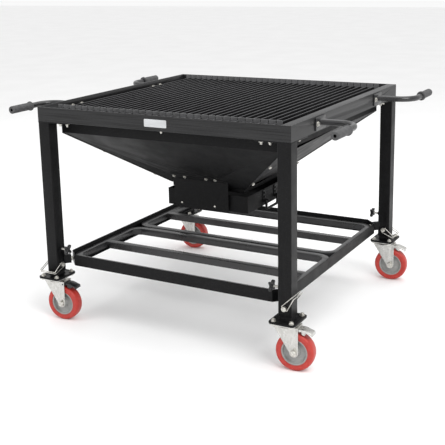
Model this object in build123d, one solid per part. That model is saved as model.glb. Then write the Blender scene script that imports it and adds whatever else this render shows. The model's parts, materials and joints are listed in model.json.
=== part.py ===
"""Height-adjustable slatted cutting table on four braked castors.

Millimetres, +Z up, +X along the front rail to the right, -Y to the front.
The origin is on the floor, under the middle of the table top.
"""
from build123d import *
import os
from math import cos, radians, sin

# ---- table top ------------------------------------------------------------
table_width = 950.0          # over the rails, X
table_depth = 950.0          # over the rails, Y
top_height = 770.0           # floor to the rails' top edge, legs pushed in
rail_height = 50.0           # upright leg of the rail angle
rail_flange = 50.0           # level leg of the rail angle
rail_wall = 4.0
ledge_width = 29.0           # angle inside the right rail
ledge_height = 40.0
ledge_wall = 3.0

# ---- slats and combs ------------------------------------------------------
slat_pitch = 26.0
slat_thickness = 3.0
slat_height = 40.0
slat_end_gap = 28.0          # slat end to the rail's inner face
slat_slot_clearance = 0.4    # each side of a slat
comb_wall = 4.0
comb_rise = 10.0             # comb tooth above the slat's top edge
comb_root = 14.0             # solid strip under the slots
comb_end_gap = 1.0           # comb end to the side rail's flange
comb_margin = 17.0           # least comb beyond the outer slat

# ---- hopper ---------------------------------------------------------------
hopper_gap = 2.0             # comb to hopper collar
hopper_wall = 2.0
collar_drop = 44.0           # upright collar under the rails
slope_drop = 210.0           # height of the sloping part
lip_drop = 12.0
outlet_width = 290.0         # X
outlet_depth = 290.0         # Y
tab_width = 80.0             # hopper tab under the middle of each rail
tab_reach = 30.0
tab_notch_gap = 1.0          # tab to the notch in the comb's lower edge
seam_width = 24.0            # strip along each hip
seam_wall = 2.0
seam_bolt_places = (0.355, 0.815)   # share of the way down the hip
seam_bolt_inset = 15.0

# ---- slag drawer ----------------------------------------------------------
drawer_length = 322.0        # X
drawer_depth = 336.0         # Y
drawer_height = 60.0
drawer_wall = 1.5
drawer_shift = 9.0           # drawer's middle from the table's middle, X
drawer_drop = 5.0            # hopper lip to the drawer's rim
slide_clearance = 0.3
runner_gap = 10.5            # drawer's side to the runner
runner_wall = 2.0
runner_ledge = 29.0
runner_height = 35.0
hanger_length = 218.0
hanger_shift = -7.0
hanger_wall = 2.5
hanger_flange = 28.0         # level reach of the flange along the slope
hanger_chamfer = 60.0
hanger_corner = 8.0
hanger_bolt_x = (-106.0, -62.0, 24.0, 60.0)
runner_screw_x = (-86.0, 48.0)
runner_screw_rise = 16.0     # screw above the drawer's bottom

# ---- drawer pull ----------------------------------------------------------
pull_spacing = 88.0          # between the two pivots
pull_radius = 4.5
pull_drop = 30.0
pull_standoff = 10.0         # drawer face to the bar's axis
pull_bend = 9.0
pull_pivot_drop = 42.0       # drawer rim to the pivot
clip_width = 18.0
clip_height = 44.0
clip_wall = 2.5
clip_ear = 3.0
pivot_radius = 2.5
running_clearance = 0.05

# ---- legs -----------------------------------------------------------------
leg_size = 45.0              # outer tube
leg_wall = 2.5
leg_clearance = 0.5          # outer tube to inner tube, each side
inner_wall = 2.5
inner_length = 480.0
outer_leg_foot = 178.0       # floor to the outer tube's lower end
head_arm = 120.0             # L plate under the rails
head_wall = 4.0
head_bolt_places = (78.0, 108.0)  # from the table's outer corner
lift_range = 300.0
lift_steps = 6

# ---- lock pins and clamp knobs --------------------------------------------
pin_radius = 5.0
pin_height = 204.0
pin_hole_clearance = 0.4
pin_head_radius = 8.0
pin_head_length = 9.0
pin_tip_reach = 13.0
bail_wire = 1.5
bail_gap = 9.6               # pin's middle to the bail's wire, each side
bail_bend = 3.0
bail_reach = 48.0
bail_waist = 3.5             # half the distance between its two wires, past the head
bail_tip_gap = 4.0
bail_overlap = 8.0           # past the pin's axis, over its tip
knob_height = 262.0
knob_stud_radius = 4.0
knob_boss_radius = 8.0
knob_boss_length = 7.0
knob_reach = 20.0
knob_standoff = 24.0         # leg face to the knob's back
knob_length = 14.0

# ---- shelf ----------------------------------------------------------------
shelf_height = 238.0         # rail's top edge
shelf_rail_height = 40.0
shelf_rail_flange = 40.0
shelf_rail_wall = 3.0
shelf_corner = 41.0          # chamfer across each corner
shelf_lug = 20.0            # leg to the lug's end, along the diagonal
lug_width = 18.0
lug_height = 30.0
lug_root = 3.0              # lug sunk into the leg
loop_bar_width = 25.0
loop_bar_height = 25.0
loop_bar_wall = 2.0
loop_vent_radius = 3.0       # drain hole under each hollow bar
loop_corner = 58.0
loop_margin = 3.0            # rail to loop, left and right
loop_end_margin = 10.0       # rail to loop, front and back
loop_gap = 10.0

# ---- carrying handles -----------------------------------------------------
handle_inset = 213.0         # from the table's front or back face
handle_drop = 22.0           # rails' top edge to the bar's axis
handle_reach = 130.0         # rail face to the grip's axis
handle_bar_radius = 10.0
handle_bar_wall = 2.0
handle_bend = 60.0
handle_length = 200.0        # bracket's middle to the grip's end
grip_length = 100.0
grip_radius = 13.5
grip_collar_radius = 17.0
grip_collar_length = 4.0
grip_bore_radius = 5.0
bracket_length = 76.0
bracket_height = 42.0
bracket_wall = 4.0
bracket_bolt_spacing = 52.0
bracket_drop = 3.0           # bar's axis to the bracket's middle

# ---- label plate ----------------------------------------------------------
label_length = 84.0
label_height = 25.0
label_wall = 1.0
label_shift = 5.0

# ---- castors --------------------------------------------------------------
wheel_radius = 62.5
tyre_width = 36.0
tyre_edge = 6.0
core_radius = 43.0
core_web = 12.0
core_rim = 4.0
core_recess = 13.0
hub_radius = 15.0
axle_radius = 6.0
fork_gap = 41.0
fork_wall = 3.0
fork_trail = 26.0
fork_top_front = 38.0        # kingpin to the crown's front edge
fork_foot_radius = 14.0
crown_radius = 33.0
crown_wall = 4.0
crown_height = 141.0         # floor to the crown's underside
race_radius = 28.0
kingpin_radius = 6.0
kingpin_head_radius = 11.0
castor_height = 159.0
castor_plate_x = 85.0
castor_plate_y = 105.0
castor_plate_wall = 3.0
castor_bolts_x = 60.0
castor_bolts_y = 80.0
base_plate_x = 90.0
base_plate_y = 106.0
base_plate_wall = 6.0
base_plate_corner = 14.0
castor_rest_angle = 6.0
brake_width = 34.0
brake_pivot_x = 34.0
brake_pivot_height = 136.0
brake_pivot_radius = 2.5
brake_wall = 2.5
brake_tip_x = 82.0
brake_tip_height = 127.0
brake_shoe_x = (49.0, 59.0)
brake_shoe_gap = 4.0         # tyre to the shoe, brake off

# ---- fasteners ------------------------------------------------------------
frame_bolt = 8.0
seam_bolt = 6.0
clip_bolt = 5.0
runner_screw = 3.0
hole_clearance = 0.3
hex_across = {3.0: 5.5, 5.0: 8.0, 6.0: 10.0, 8.0: 13.0, 12.0: 19.0}

# ---- derived places -------------------------------------------------------
half_w = table_width / 2
half_d = table_depth / 2
rail_bottom = top_height - rail_height
flange_top = rail_bottom + rail_wall
leg_x = half_w - leg_size / 2
leg_y = half_d - leg_size / 2
leg_top = rail_bottom - head_wall
comb_offset = rail_flange + comb_wall
collar_inset = comb_offset + hopper_gap
slope_top = rail_bottom - collar_drop
slope_bottom = slope_top - slope_drop
lip_bottom = slope_bottom - lip_drop
drawer_top = lip_bottom - drawer_drop
drawer_bottom = drawer_top - drawer_height
runner_top = drawer_bottom - slide_clearance
hanger_inner = drawer_depth / 2 + runner_gap + runner_wall
hanger_outer = hanger_inner + hanger_wall
inner_size = leg_size - 2 * leg_wall - 2 * leg_clearance
shelf_inset = leg_size
base_plate_top = castor_height + base_plate_wall
handle_height = top_height - handle_drop
pull_x = drawer_shift + drawer_length / 2 + pull_standoff
pull_z = drawer_top - pull_pivot_drop

CORNERS = {"fl": (-1, -1), "fr": (1, -1), "bl": (-1, 1), "br": (1, 1)}
# Each pin: direction from head to tip, side its bail hangs on, bail's tilt.
PIN_LAY = {
    "fl": ((-1, 0, 0), (0, -1, 0), -25.0),
    "fr": ((0, 1, 0), (1, 0, 0), 53.0),
    "bl": ((-1, 0, 0), (0, 1, 0), -25.0),
    "br": ((0, 1, 0), (1, 0, 0), -32.0),
}
# Each side of the table: turn from the front side, half its length, its offset.
SIDES = {
    "front": (0, half_w, half_d),
    "right": (90, half_d, half_w),
    "back": (180, half_w, half_d),
    "left": (270, half_d, half_w),
}


# ---- small helpers --------------------------------------------------------
def block(x0, x1, y0, y1, z0, z1):
    """Box between two corners."""
    middle = Pos((x0 + x1) / 2, (y0 + y1) / 2, (z0 + z1) / 2)
    return middle * Box(x1 - x0, y1 - y0, z1 - z0)


def rod(start, end, radius):
    """Cylinder from one point to another."""
    start, end = Vector(start), Vector(end)
    plane = Plane(origin=start, z_dir=end - start)
    length = (end - start).length
    return plane * Cylinder(radius, length, align=(Align.CENTER, Align.CENTER, Align.MIN))


def hexagon(start, direction, across, length):
    """Hexagonal prism from start along direction."""
    plane = Plane(origin=start, z_dir=direction)
    outline = plane * RegularPolygon(across / 2, 6, major_radius=False)
    return extrude(outline, amount=length)


def prism(points, z0, z1):
    """Upright prism over a plan outline."""
    outline = Pos(0, 0, z0) * make_face(Polyline(*points, close=True))
    return extrude(outline, amount=z1 - z0)


def bar_section(points, half_length):
    """Bar along X with its outline given as (distance from centre line, height)."""
    outline = make_face(Polyline(*[(0, -reach, z) for reach, z in points], close=True))
    return extrude(outline, amount=half_length, dir=(1, 0, 0), both=True)


def joined(shapes):
    """One solid from touching or overlapping shapes."""
    result = shapes[0]
    for shape in shapes[1:]:
        result = result + shape
    return result


def wire_loop(points, radius, bend):
    """Closed loop of round wire through the points, with rounded corners."""
    route = FilletPolyline(*points, radius=bend, close=True)
    profile = Plane(origin=route @ 0, z_dir=route % 0) * Circle(radius)
    return sweep(profile, path=route)


def bolt(start, direction, grip, size, with_nut=True):
    """Hex bolt: head outside start, shank through grip, nut on the far side."""
    start, along = Vector(start), Vector(direction).normalized()
    across = hex_across[size]
    head = hexagon(start, -along, across, 0.6 * size)
    tail = grip + (size if with_nut else 0.0)
    pieces = [head, rod(start, start + along * tail, size / 2)]
    if with_nut:
        pieces.append(hexagon(start + along * grip, along, across, 0.8 * size))
    return joined(pieces)


def bolt_hole(start, direction, grip, size):
    """Clearance hole for a bolt, past both ends of its grip."""
    start, along = Vector(start), Vector(direction).normalized()
    return rod(start - along * 2, start + along * (grip + 2), size / 2 + hole_clearance)


def turned(angle, shape):
    return Rot(0, 0, angle) * shape


def turn_point(angle, point):
    c, s = cos(radians(angle)), sin(radians(angle))
    x, y, z = point
    return (c * x - s * y, s * x + c * y, z)


# ---- where the bolts go ---------------------------------------------------
def head_bolt_spots():
    """Bolts through each leg's L plate and the rails' flanges, from above."""
    spots = []
    middle = leg_size / 2
    for sx, sy in CORNERS.values():
        for reach in head_bolt_places:
            spots.append((sx * (half_w - reach), sy * (half_d - middle), flange_top))
            spots.append((sx * (half_w - middle), sy * (half_d - reach), flange_top))
    return spots


def tab_bolt_spot(offset):
    """Bolt through a hopper tab, from above, on the front side of the table."""
    return (0, -(offset - collar_inset + tab_reach / 2), flange_top)


def tab_bolt_spots():
    return [turn_point(angle, tab_bolt_spot(offset)) for angle, half, offset in SIDES.values()]


def bracket_z():
    return handle_height - bracket_drop


def handle_bolt_spots():
    """Two bolts for each carrying handle: bracket face point and direction in."""
    spots = []
    for sx, sy in CORNERS.values():
        for step in (-0.5, 0.5):
            y = sy * (half_d - handle_inset) + step * bracket_bolt_spacing
            spots.append(((sx * (half_w + bracket_wall), y, bracket_z()), (-sx, 0, 0)))
    return spots


# ---- table top ------------------------------------------------------------
def mitre(half, offset, depth, z0, z1):
    """Plan of one mitred side, in the front side's position."""
    points = [(-half, -offset), (half, -offset),
              (half - depth, -offset + depth), (-half + depth, -offset + depth)]
    return prism(points, z0, z1)


def top_rail(side):
    angle, half, offset = SIDES[side]
    section = [(offset, rail_bottom), (offset, top_height),
               (offset - rail_wall, top_height), (offset - rail_wall, flange_top),
               (offset - rail_flange, flange_top), (offset - rail_flange, rail_bottom)]
    bar = bar_section(section, half)
    rail = turned(angle, bar & mitre(half, offset, rail_flange, rail_bottom, top_height))
    grip = rail_wall + head_wall
    for spot in head_bolt_spots() + tab_bolt_spots():
        rail = rail - bolt_hole(spot, (0, 0, -1), grip, frame_bolt)
    if side in ("left", "right"):
        for spot, way in handle_bolt_spots():
            rail = rail - bolt_hole(spot, way, bracket_wall + rail_wall, frame_bolt)
    return rail


def right_ledge():
    """Angle inside the right rail, flush with its top edge."""
    outer = half_w - rail_wall
    ends = half_d - rail_wall
    top = block(outer - ledge_width, outer, -ends, ends, top_height - ledge_wall, top_height)
    web = block(outer - ledge_wall, outer, -ends, ends, top_height - ledge_height, top_height)
    ledge = top + web
    for spot, way in handle_bolt_spots():
        if spot[0] > 0:
            grip = bracket_wall + rail_wall + ledge_wall
            ledge = ledge - bolt_hole(spot, way, grip, frame_bolt)
    return ledge


def comb_half_length():
    return half_w - rail_flange - comb_end_gap


def slat_places():
    """X of each slat: an even number, so that the middle bolt falls between two."""
    room = 2 * (comb_half_length() - comb_margin)
    count = 2 * int((room / slat_pitch + 1) // 2)
    first = -(count - 1) * slat_pitch / 2
    return [first + slat_pitch * i for i in range(count)]


def comb(angle):
    """Slotted bar standing at the inner edge of a rail's flange."""
    half = comb_half_length()
    inner = half_d - comb_offset
    slot_floor = flange_top
    bar = block(-half, half, -inner - comb_wall, -inner,
                slot_floor - comb_root, slot_floor + slat_height + comb_rise)
    notch = tab_width / 2 + tab_notch_gap
    bar = bar - block(-notch, notch, -inner - comb_wall - 1, -inner + 1,
                      slot_floor - comb_root - 1, rail_bottom)
    slot_half = slat_thickness / 2 + slat_slot_clearance
    slots = [block(x - slot_half, x + slot_half, -inner - comb_wall - 1, -inner + 1,
                   slot_floor, top_height + comb_rise + 1) for x in slat_places()]
    return turned(angle, bar - slots)


def slats():
    half = half_d - rail_wall - slat_end_gap
    return [block(x - slat_thickness / 2, x + slat_thickness / 2, -half, half,
                  flange_top, flange_top + slat_height) for x in slat_places()]


def label_plate():
    plate = block(label_shift - label_length / 2, label_shift + label_length / 2,
                  -half_d - label_wall, -half_d,
                  rail_bottom + (rail_height - label_height) / 2,
                  rail_bottom + (rail_height + label_height) / 2)
    return fillet(plate.edges().filter_by(Axis.Y), 3)


# ---- hopper ---------------------------------------------------------------
def hopper_frame(side):
    """Turn, half lengths at top and outlet, and offsets at top and outlet."""
    angle, half, offset = SIDES[side]
    across, along = outlet_depth / 2, outlet_width / 2
    if side in ("left", "right"):
        across, along = along, across
    return angle, half - collar_inset, along, offset - collar_inset, across


def slope_of(side):
    """Fall per unit of level run."""
    top, bottom = hopper_frame(side)[3:]
    return slope_drop / (top - bottom)


def slope_normal(side):
    """Outward normal of a sloping panel, before the side is turned."""
    fall = slope_of(side)
    return Vector(0, -fall, -1).normalized()


def slope_z(side, reach):
    top = hopper_frame(side)[3]
    return slope_top - slope_of(side) * (top - reach)


def hip_plan(side, z0, z1, shrink=0.0):
    """Prism over one panel's plan, from the collar's corners to the outlet's."""
    angle, half, low_half, offset, low_offset = hopper_frame(side)
    points = [(-half, -offset), (half, -offset), (low_half, -low_offset),
              (0.0, 0.0), (-low_half, -low_offset)]
    return prism(points, z0, z1)


def seam_spots(side):
    """Seam bolts on a side panel: outer surface points beside both hips."""
    angle, half, low_half, offset, low_offset = hopper_frame(side)
    spots = []
    for hand in (-1, 1):
        for share in seam_bolt_places:
            reach = offset + (low_offset - offset) * share
            along = half + (low_half - half) * share - seam_bolt_inset
            spots.append((hand * along, -reach, slope_z(side, reach)))
    return spots


def hanger_spots():
    """Bolts through the front hanger's flange and the front panel."""
    reach = hanger_outer + hanger_flange / 2
    return [(x, -reach, slope_z("front", reach)) for x in hanger_bolt_x]


def hopper_panel(side):
    angle, half, low_half, offset, low_offset = hopper_frame(side)
    fall = slope_of(side)
    level = hopper_wall * (1 + fall ** 2) ** 0.5 / fall
    bend = (level - hopper_wall) * fall
    section = [(offset, rail_bottom), (offset, slope_top), (low_offset, slope_bottom),
               (low_offset, lip_bottom), (low_offset - hopper_wall, lip_bottom),
               (low_offset - hopper_wall, slope_bottom + bend),
               (offset - hopper_wall, slope_top + bend), (offset - hopper_wall, rail_bottom)]
    panel = bar_section(section, half) & hip_plan(side, lip_bottom, rail_bottom)
    tab = block(-tab_width / 2, tab_width / 2, -offset - tab_reach, -offset + hopper_wall,
                rail_bottom - hopper_wall, rail_bottom)
    panel = panel + tab
    normal = slope_normal(side)
    if side in ("left", "right"):
        for spot in seam_spots(side):
            start = Vector(spot) + normal * seam_wall
            panel = panel - bolt_hole(start, -normal, hopper_wall + seam_wall, seam_bolt)
    else:
        for spot in hanger_spots():
            start = Vector(spot) + normal * hanger_wall
            panel = panel - bolt_hole(start, -normal, hopper_wall + hanger_wall, seam_bolt)
    hole = bolt_hole(tab_bolt_spot(SIDES[side][2]), (0, 0, -1), rail_wall + hopper_wall,
                     frame_bolt)
    return turned(angle, panel - hole)


def seam_strips(side):
    """Two strips lying on a side panel, along its hips."""
    angle, half, low_half, offset, low_offset = hopper_frame(side)
    fall = slope_of(side)
    level = seam_wall * (1 + fall ** 2) ** 0.5 / fall
    section = [(offset, slope_top), (low_offset, slope_bottom),
               (low_offset + level, slope_bottom), (offset + level, slope_top)]
    sheet = bar_section(section, half)
    normal = slope_normal(side)
    strips = []
    for hand in (-1, 1):
        points = [(hand * half, -offset), (hand * low_half, -low_offset),
                  (hand * (low_half - seam_width), -low_offset),
                  (hand * (half - seam_width), -offset)]
        strip = sheet & prism(points, slope_bottom - 1, slope_top + 1)
        for spot in seam_spots(side):
            start = Vector(spot) + normal * seam_wall
            strip = strip - bolt_hole(start, -normal, hopper_wall + seam_wall, seam_bolt)
        strips.append(turned(angle, strip))
    return strips


# ---- slag drawer and its hangers ------------------------------------------
def runner_screw_spots():
    z = drawer_bottom + runner_screw_rise
    return [(x, -hanger_outer, z) for x in runner_screw_x]


def hanger(angle):
    """Plate that hangs from the hopper's slope and holds one drawer runner."""
    drop = hanger_wall * (1 + slope_of("front") ** 2) ** 0.5
    low = runner_top - runner_wall
    far = hanger_outer + hanger_flange
    section = [(hanger_inner, low), (hanger_outer, low),
               (hanger_outer, slope_z("front", hanger_outer) - drop),
               (far, slope_z("front", far) - drop), (far, slope_z("front", far)),
               (hanger_inner, slope_z("front", hanger_inner))]
    plate = Pos(hanger_shift, 0, 0) * bar_section(section, hanger_length / 2)
    right = hanger_shift + hanger_length / 2
    corner = [(right + 1, -hanger_outer), (right + 1, -far - 1),
              (right - hanger_chamfer, -far - 1), (right - hanger_chamfer, -far)]
    plate = plate - prism(corner, low, slope_top)
    feet = plate.edges().filter_by(Axis.Y).group_by(Axis.Z)[0]
    plate = fillet(feet, hanger_corner)
    normal = slope_normal("front")
    for spot in hanger_spots():
        start = Vector(spot) + normal * hanger_wall
        plate = plate - bolt_hole(start, -normal, hopper_wall + hanger_wall, seam_bolt)
    for spot in runner_screw_spots():
        plate = plate - bolt_hole(spot, (0, 1, 0), hanger_wall + runner_wall, runner_screw)
    return turned(angle, plate)


def runner(angle):
    """Angle that the drawer slides on."""
    half = hanger_length / 2 - hanger_corner
    low = runner_top - runner_wall
    section = [(hanger_inner, low), (hanger_inner, low + runner_height),
               (hanger_inner - runner_wall, low + runner_height),
               (hanger_inner - runner_wall, runner_top),
               (hanger_inner - runner_ledge, runner_top), (hanger_inner - runner_ledge, low)]
    bar = Pos(hanger_shift, 0, 0) * bar_section(section, half)
    for spot in runner_screw_spots():
        bar = bar - bolt_hole(spot, (0, 1, 0), hanger_wall + runner_wall, runner_screw)
    return turned(angle, bar)


def clip_bolt_heights():
    middle = pull_z + clip_height / 2
    return (middle + 6, middle - 8)


def drawer_box():
    x0 = drawer_shift - drawer_length / 2
    x1 = drawer_shift + drawer_length / 2
    y1 = drawer_depth / 2
    outside = block(x0, x1, -y1, y1, drawer_bottom, drawer_top)
    inside = block(x0 + drawer_wall, x1 - drawer_wall, -y1 + drawer_wall, y1 - drawer_wall,
                   drawer_bottom + drawer_wall, drawer_top + 1)
    box = outside - inside
    for y in (-pull_spacing / 2, pull_spacing / 2):
        for z in clip_bolt_heights():
            box = box - bolt_hole((x1 + clip_wall, y, z), (-1, 0, 0),
                                  clip_wall + drawer_wall, clip_bolt)
    return box


def pull_clips():
    """Plates with two ears each, which hold the pull's ends, and their bolts."""
    face = drawer_shift + drawer_length / 2
    pieces = []
    for y in (-pull_spacing / 2, pull_spacing / 2):
        plate = block(face, face + clip_wall, y - clip_width / 2, y + clip_width / 2,
                      pull_z - 5, pull_z - 5 + clip_height)
        for hand in (-1, 1):
            y0 = y + hand * (clip_width / 2 - clip_ear / 2)
            ear = block(face, pull_x, y0 - clip_ear / 2, y0 + clip_ear / 2,
                        pull_z - 5, pull_z + 5)
            nose = rod((pull_x, y0 - clip_ear / 2, pull_z), (pull_x, y0 + clip_ear / 2, pull_z), 5)
            plate = plate + ear + nose
        bore = rod((pull_x, y - clip_width, pull_z), (pull_x, y + clip_width, pull_z),
                   pivot_radius + running_clearance)
        plate = plate - bore
        for z in clip_bolt_heights():
            spot = (face + clip_wall, y, z)
            plate = plate - bolt_hole(spot, (-1, 0, 0), clip_wall + drawer_wall, clip_bolt)
            pieces.append(bolt(spot, (-1, 0, 0), clip_wall + drawer_wall, clip_bolt))
        pieces.append(plate)
    return pieces


def drawer_pull():
    """U of round bar on two cross pivots."""
    half = pull_spacing / 2
    low = pull_z - pull_drop
    route = FilletPolyline((pull_x, -half, pull_z), (pull_x, -half, low),
                           (pull_x, half, low), (pull_x, half, pull_z), radius=pull_bend)
    profile = Plane(origin=route @ 0, z_dir=route % 0) * Circle(pull_radius)
    bar = sweep(profile, path=route)
    for y in (-half, half):
        reach = clip_width / 2 + 1
        bar = bar + Pos(pull_x, y, pull_z) * Sphere(pull_radius)
        bar = bar + rod((pull_x, y - reach, pull_z), (pull_x, y + reach, pull_z), pivot_radius)
    return bar


# ---- legs -----------------------------------------------------------------
def square_tube(x, y, size, wall, z0, z1):
    half = size / 2
    tube = block(x - half, x + half, y - half, y + half, z0, z1)
    tube = fillet(tube.edges().filter_by(Axis.Z), wall)
    hole = block(x - half + wall, x + half - wall, y - half + wall, y + half - wall,
                 z0 - 1, z1 + 1)
    return tube - hole


def leg_centre(corner):
    sx, sy = CORNERS[corner]
    return sx * leg_x, sy * leg_y


def pin_frame(corner):
    """Pin's middle, its direction, its bail's direction and the bail's hinge axis."""
    x, y = leg_centre(corner)
    along, beside, tilt = PIN_LAY[corner]
    along, beside = Vector(along), Vector(beside)
    outward = beside * cos(radians(tilt)) + Vector(0, 0, sin(radians(tilt)))
    return Vector(x, y, pin_height), along, outward, along.cross(outward)


def pin_hole(corner, height, radius):
    middle, along, outward, hinge = pin_frame(corner)
    middle = Vector(middle.X, middle.Y, height)
    return rod(middle - along * leg_size, middle + along * leg_size, radius)


def outer_leg(corner):
    """Fixed leg tube with its L head plate, knob boss and shelf lug."""
    sx, sy = CORNERS[corner]
    x, y = leg_centre(corner)
    tube = square_tube(x, y, leg_size, leg_wall, outer_leg_foot, leg_top)
    plan = [(0, 0), (head_arm, 0), (head_arm, leg_size), (leg_size, leg_size),
            (leg_size, head_arm), (0, head_arm)]
    points = [(sx * (half_w - a), sy * (half_d - b)) for a, b in plan]
    plate = prism(points, leg_top, rail_bottom)
    for spot in head_bolt_spots():
        plate = plate - bolt_hole(spot, (0, 0, -1), rail_wall + head_wall, frame_bolt)
    face = x - sx * leg_size / 2
    boss = rod((face, y, knob_height), (face - sx * knob_boss_length, y, knob_height),
               knob_boss_radius)
    lug = lug_block(corner)
    leg = tube + plate + boss + lug
    bore = rod((face + sx * 4, y, knob_height), (face - sx * 20, y, knob_height),
               knob_stud_radius + running_clearance)
    leg = leg - bore
    leg = leg - pin_hole(corner, pin_height, pin_radius + pin_hole_clearance)
    return leg - lug_bore(corner)


def lug_frame(corner):
    """Inner edge of the leg at the shelf's mid height, and the diagonal inwards."""
    sx, sy = CORNERS[corner]
    start = Vector(sx * (half_w - leg_size), sy * (half_d - leg_size),
                   shelf_height - shelf_rail_height / 2)
    return start, Vector(-sx, -sy, 0).normalized()


def lug_block(corner):
    start, inward = lug_frame(corner)
    centre = start + inward * (shelf_lug / 2 - lug_root)
    plane = Plane(origin=centre, x_dir=inward, z_dir=(0, 0, 1))
    body = plane * Box(shelf_lug + 2 * lug_root, lug_width, lug_height)
    x, y = leg_centre(corner)
    half = leg_size / 2
    core = block(x - half + 1, x + half - 1, y - half + 1, y + half - 1, 0, leg_top)
    return body - core


def lug_bore(corner):
    start, inward = lug_frame(corner)
    return rod(start + inward * 2, start + inward * 40, frame_bolt / 2 + hole_clearance)


def corner_bolt(corner):
    """Bolt from the shelf's corner plate into the leg's lug."""
    start, inward = lug_frame(corner)
    plate_outer = shelf_corner / 2 ** 0.5
    grip_start = start + inward * (plate_outer + shelf_rail_wall)
    shank_end = start + inward * 4
    body = rod(grip_start, shank_end, frame_bolt / 2)
    across = hex_across[frame_bolt]
    head = hexagon(grip_start, inward, across, 0.6 * frame_bolt)
    lock_nut = hexagon(start + inward * (shelf_lug + 0.2), inward, across, 0.8 * frame_bolt)
    return body + head + lock_nut


def inner_leg(corner):
    """Sliding tube with its castor plate and a row of pin holes."""
    x, y = leg_centre(corner)
    tube = square_tube(x, y, inner_size, inner_wall, base_plate_top, base_plate_top + inner_length)
    step = lift_range / lift_steps
    for i in range(lift_steps + 1):
        tube = tube - pin_hole(corner, pin_height + step * i, pin_radius + pin_hole_clearance)
    plate = block(x - base_plate_x / 2, x + base_plate_x / 2, y - base_plate_y / 2,
                  y + base_plate_y / 2, castor_height, base_plate_top)
    plate = fillet(plate.edges().filter_by(Axis.Z), base_plate_corner)
    for spot in castor_bolt_spots(corner):
        plate = plate - bolt_hole(spot, (0, 0, 1), castor_plate_wall + base_plate_wall, frame_bolt)
    return tube + plate


def lock_pin(corner):
    """Pin through both tubes, drilled across its head for the bail."""
    middle, along, outward, hinge = pin_frame(corner)
    face = middle - along * (leg_size / 2)
    tip = middle + along * (leg_size / 2 + pin_tip_reach)
    pin = rod(face, tip, pin_radius) + rod(face, face - along * pin_head_length, pin_head_radius)
    eye = bail_pivot(corner)
    return pin - rod(eye - hinge * 20, eye + hinge * 20, bail_wire + running_clearance)


def bail_pivot(corner):
    middle, along, outward, hinge = pin_frame(corner)
    return middle - along * (leg_size / 2 + pin_head_length / 2)


def bail(corner):
    """Double wire from the pin's head, round the leg and over the pin's tip."""
    middle, along, outward, hinge = pin_frame(corner)
    start = bail_pivot(corner)
    length = pin_head_length / 2 + leg_size + pin_tip_reach + bail_tip_gap
    gap = bail_gap + bail_wire
    far = start + along * length
    low, high = outward * -bail_overlap, outward * bail_reach
    waist = hinge * bail_waist
    points = [start + hinge * gap, start + waist + high, far + waist + high, far + waist + low,
              far - waist + low, far - waist + high, start - waist + high, start - hinge * gap]
    return wire_loop(points, bail_wire, bail_bend)


def clamp_knob(corner):
    """Four-armed knob with its stud, on the leg's inner face."""
    sx, sy = CORNERS[corner]
    x, y = leg_centre(corner)
    face = x - sx * leg_size / 2
    tip = face + sx * (leg_wall + leg_clearance / 2)
    back = face - sx * knob_standoff
    front = back - sx * knob_length
    stud = rod((tip, y, knob_height), (back, y, knob_height), knob_stud_radius)
    hub = rod((back, y, knob_height), (front, y, knob_height), 8.5)
    arms = []
    for angle in (45, 135, 225, 315):
        dy = (knob_reach - 4) * cos(radians(angle))
        dz = (knob_reach - 4) * sin(radians(angle))
        arm_back = (back - sx * 2, y + dy, knob_height + dz)
        arm_front = (back - sx * (knob_length - 3), y + dy, knob_height + dz)
        arms.append(rod(arm_back, arm_front, 4))
        web = Plane(origin=((back + front) / 2 + sx * 0.5, y, knob_height),
                    x_dir=(0, cos(radians(angle)), sin(radians(angle))), z_dir=(1, 0, 0))
        arms.append(web * Pos(knob_reach / 2 - 2, 0, 0) * Box(knob_reach - 4, 6, knob_length - 5))
    return joined([stud, hub] + arms)


# ---- shelf ----------------------------------------------------------------
def shelf_half():
    return half_w - shelf_inset, half_d - shelf_inset


def shelf_outline(inset):
    """Rectangle with chamfered corners, as wide as the shelf less an inset."""
    a, b = shelf_half()
    a, b = a - inset, b - inset
    c = shelf_corner - inset * (2 - 2 ** 0.5)
    return [(-a + c, -b), (a - c, -b), (a, -b + c), (a, b - c),
            (a - c, b), (-a + c, b), (-a, b - c), (-a, -b + c)]


def shelf_rails():
    """Four angles and four corner plates: an eight-sided ring in eight pieces."""
    low = shelf_height - shelf_rail_height
    outer = shelf_outline(0)
    skin = prism(outer, low, shelf_height)
    hollow = prism(shelf_outline(shelf_rail_wall), low + shelf_rail_wall, shelf_height + 1)
    window_a, window_b = shelf_half()
    window_a, window_b = window_a - shelf_rail_flange, window_b - shelf_rail_flange
    window = block(-window_a, window_a, -window_b, window_b, low - 1, shelf_height + 1)
    ring = skin - hollow - window
    for corner in CORNERS:
        start, inward = lug_frame(corner)
        ring = ring - rod(start, start + inward * 60, frame_bolt / 2 + hole_clearance)
    pieces = []
    for i in range(8):
        a, b = outer[i], outer[(i + 1) % 8]
        far_a = inner_corner(i)
        far_b = inner_corner((i + 1) % 8)
        points = [a, b, far_b, far_a] if far_a != far_b else [a, b, far_a]
        pieces.append(ring & prism(points, low, shelf_height))
    return pieces


def inner_corner(i):
    """Window corner that the eight-sided ring's corner i is cut towards."""
    window_a, window_b = shelf_half()
    window_a, window_b = window_a - shelf_rail_flange - 1, window_b - shelf_rail_flange - 1
    signs = [(-1, -1), (1, -1), (1, -1), (1, 1), (1, 1), (-1, 1), (-1, 1), (-1, -1)]
    return signs[i][0] * window_a, signs[i][1] * window_b


def loop_spans():
    """Front and back edges of the two shelf loops."""
    half = half_d - shelf_inset - shelf_rail_wall - loop_end_margin
    return (-half, -loop_gap / 2), (loop_gap / 2, half)


def loop_half_width():
    return half_w - shelf_inset - shelf_rail_wall - loop_margin


def rounded(x, y0, y1, z0, z1, radius):
    shape = block(-x, x, y0, y1, z0, z1)
    return fillet(shape.edges().filter_by(Axis.Z), radius)


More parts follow.
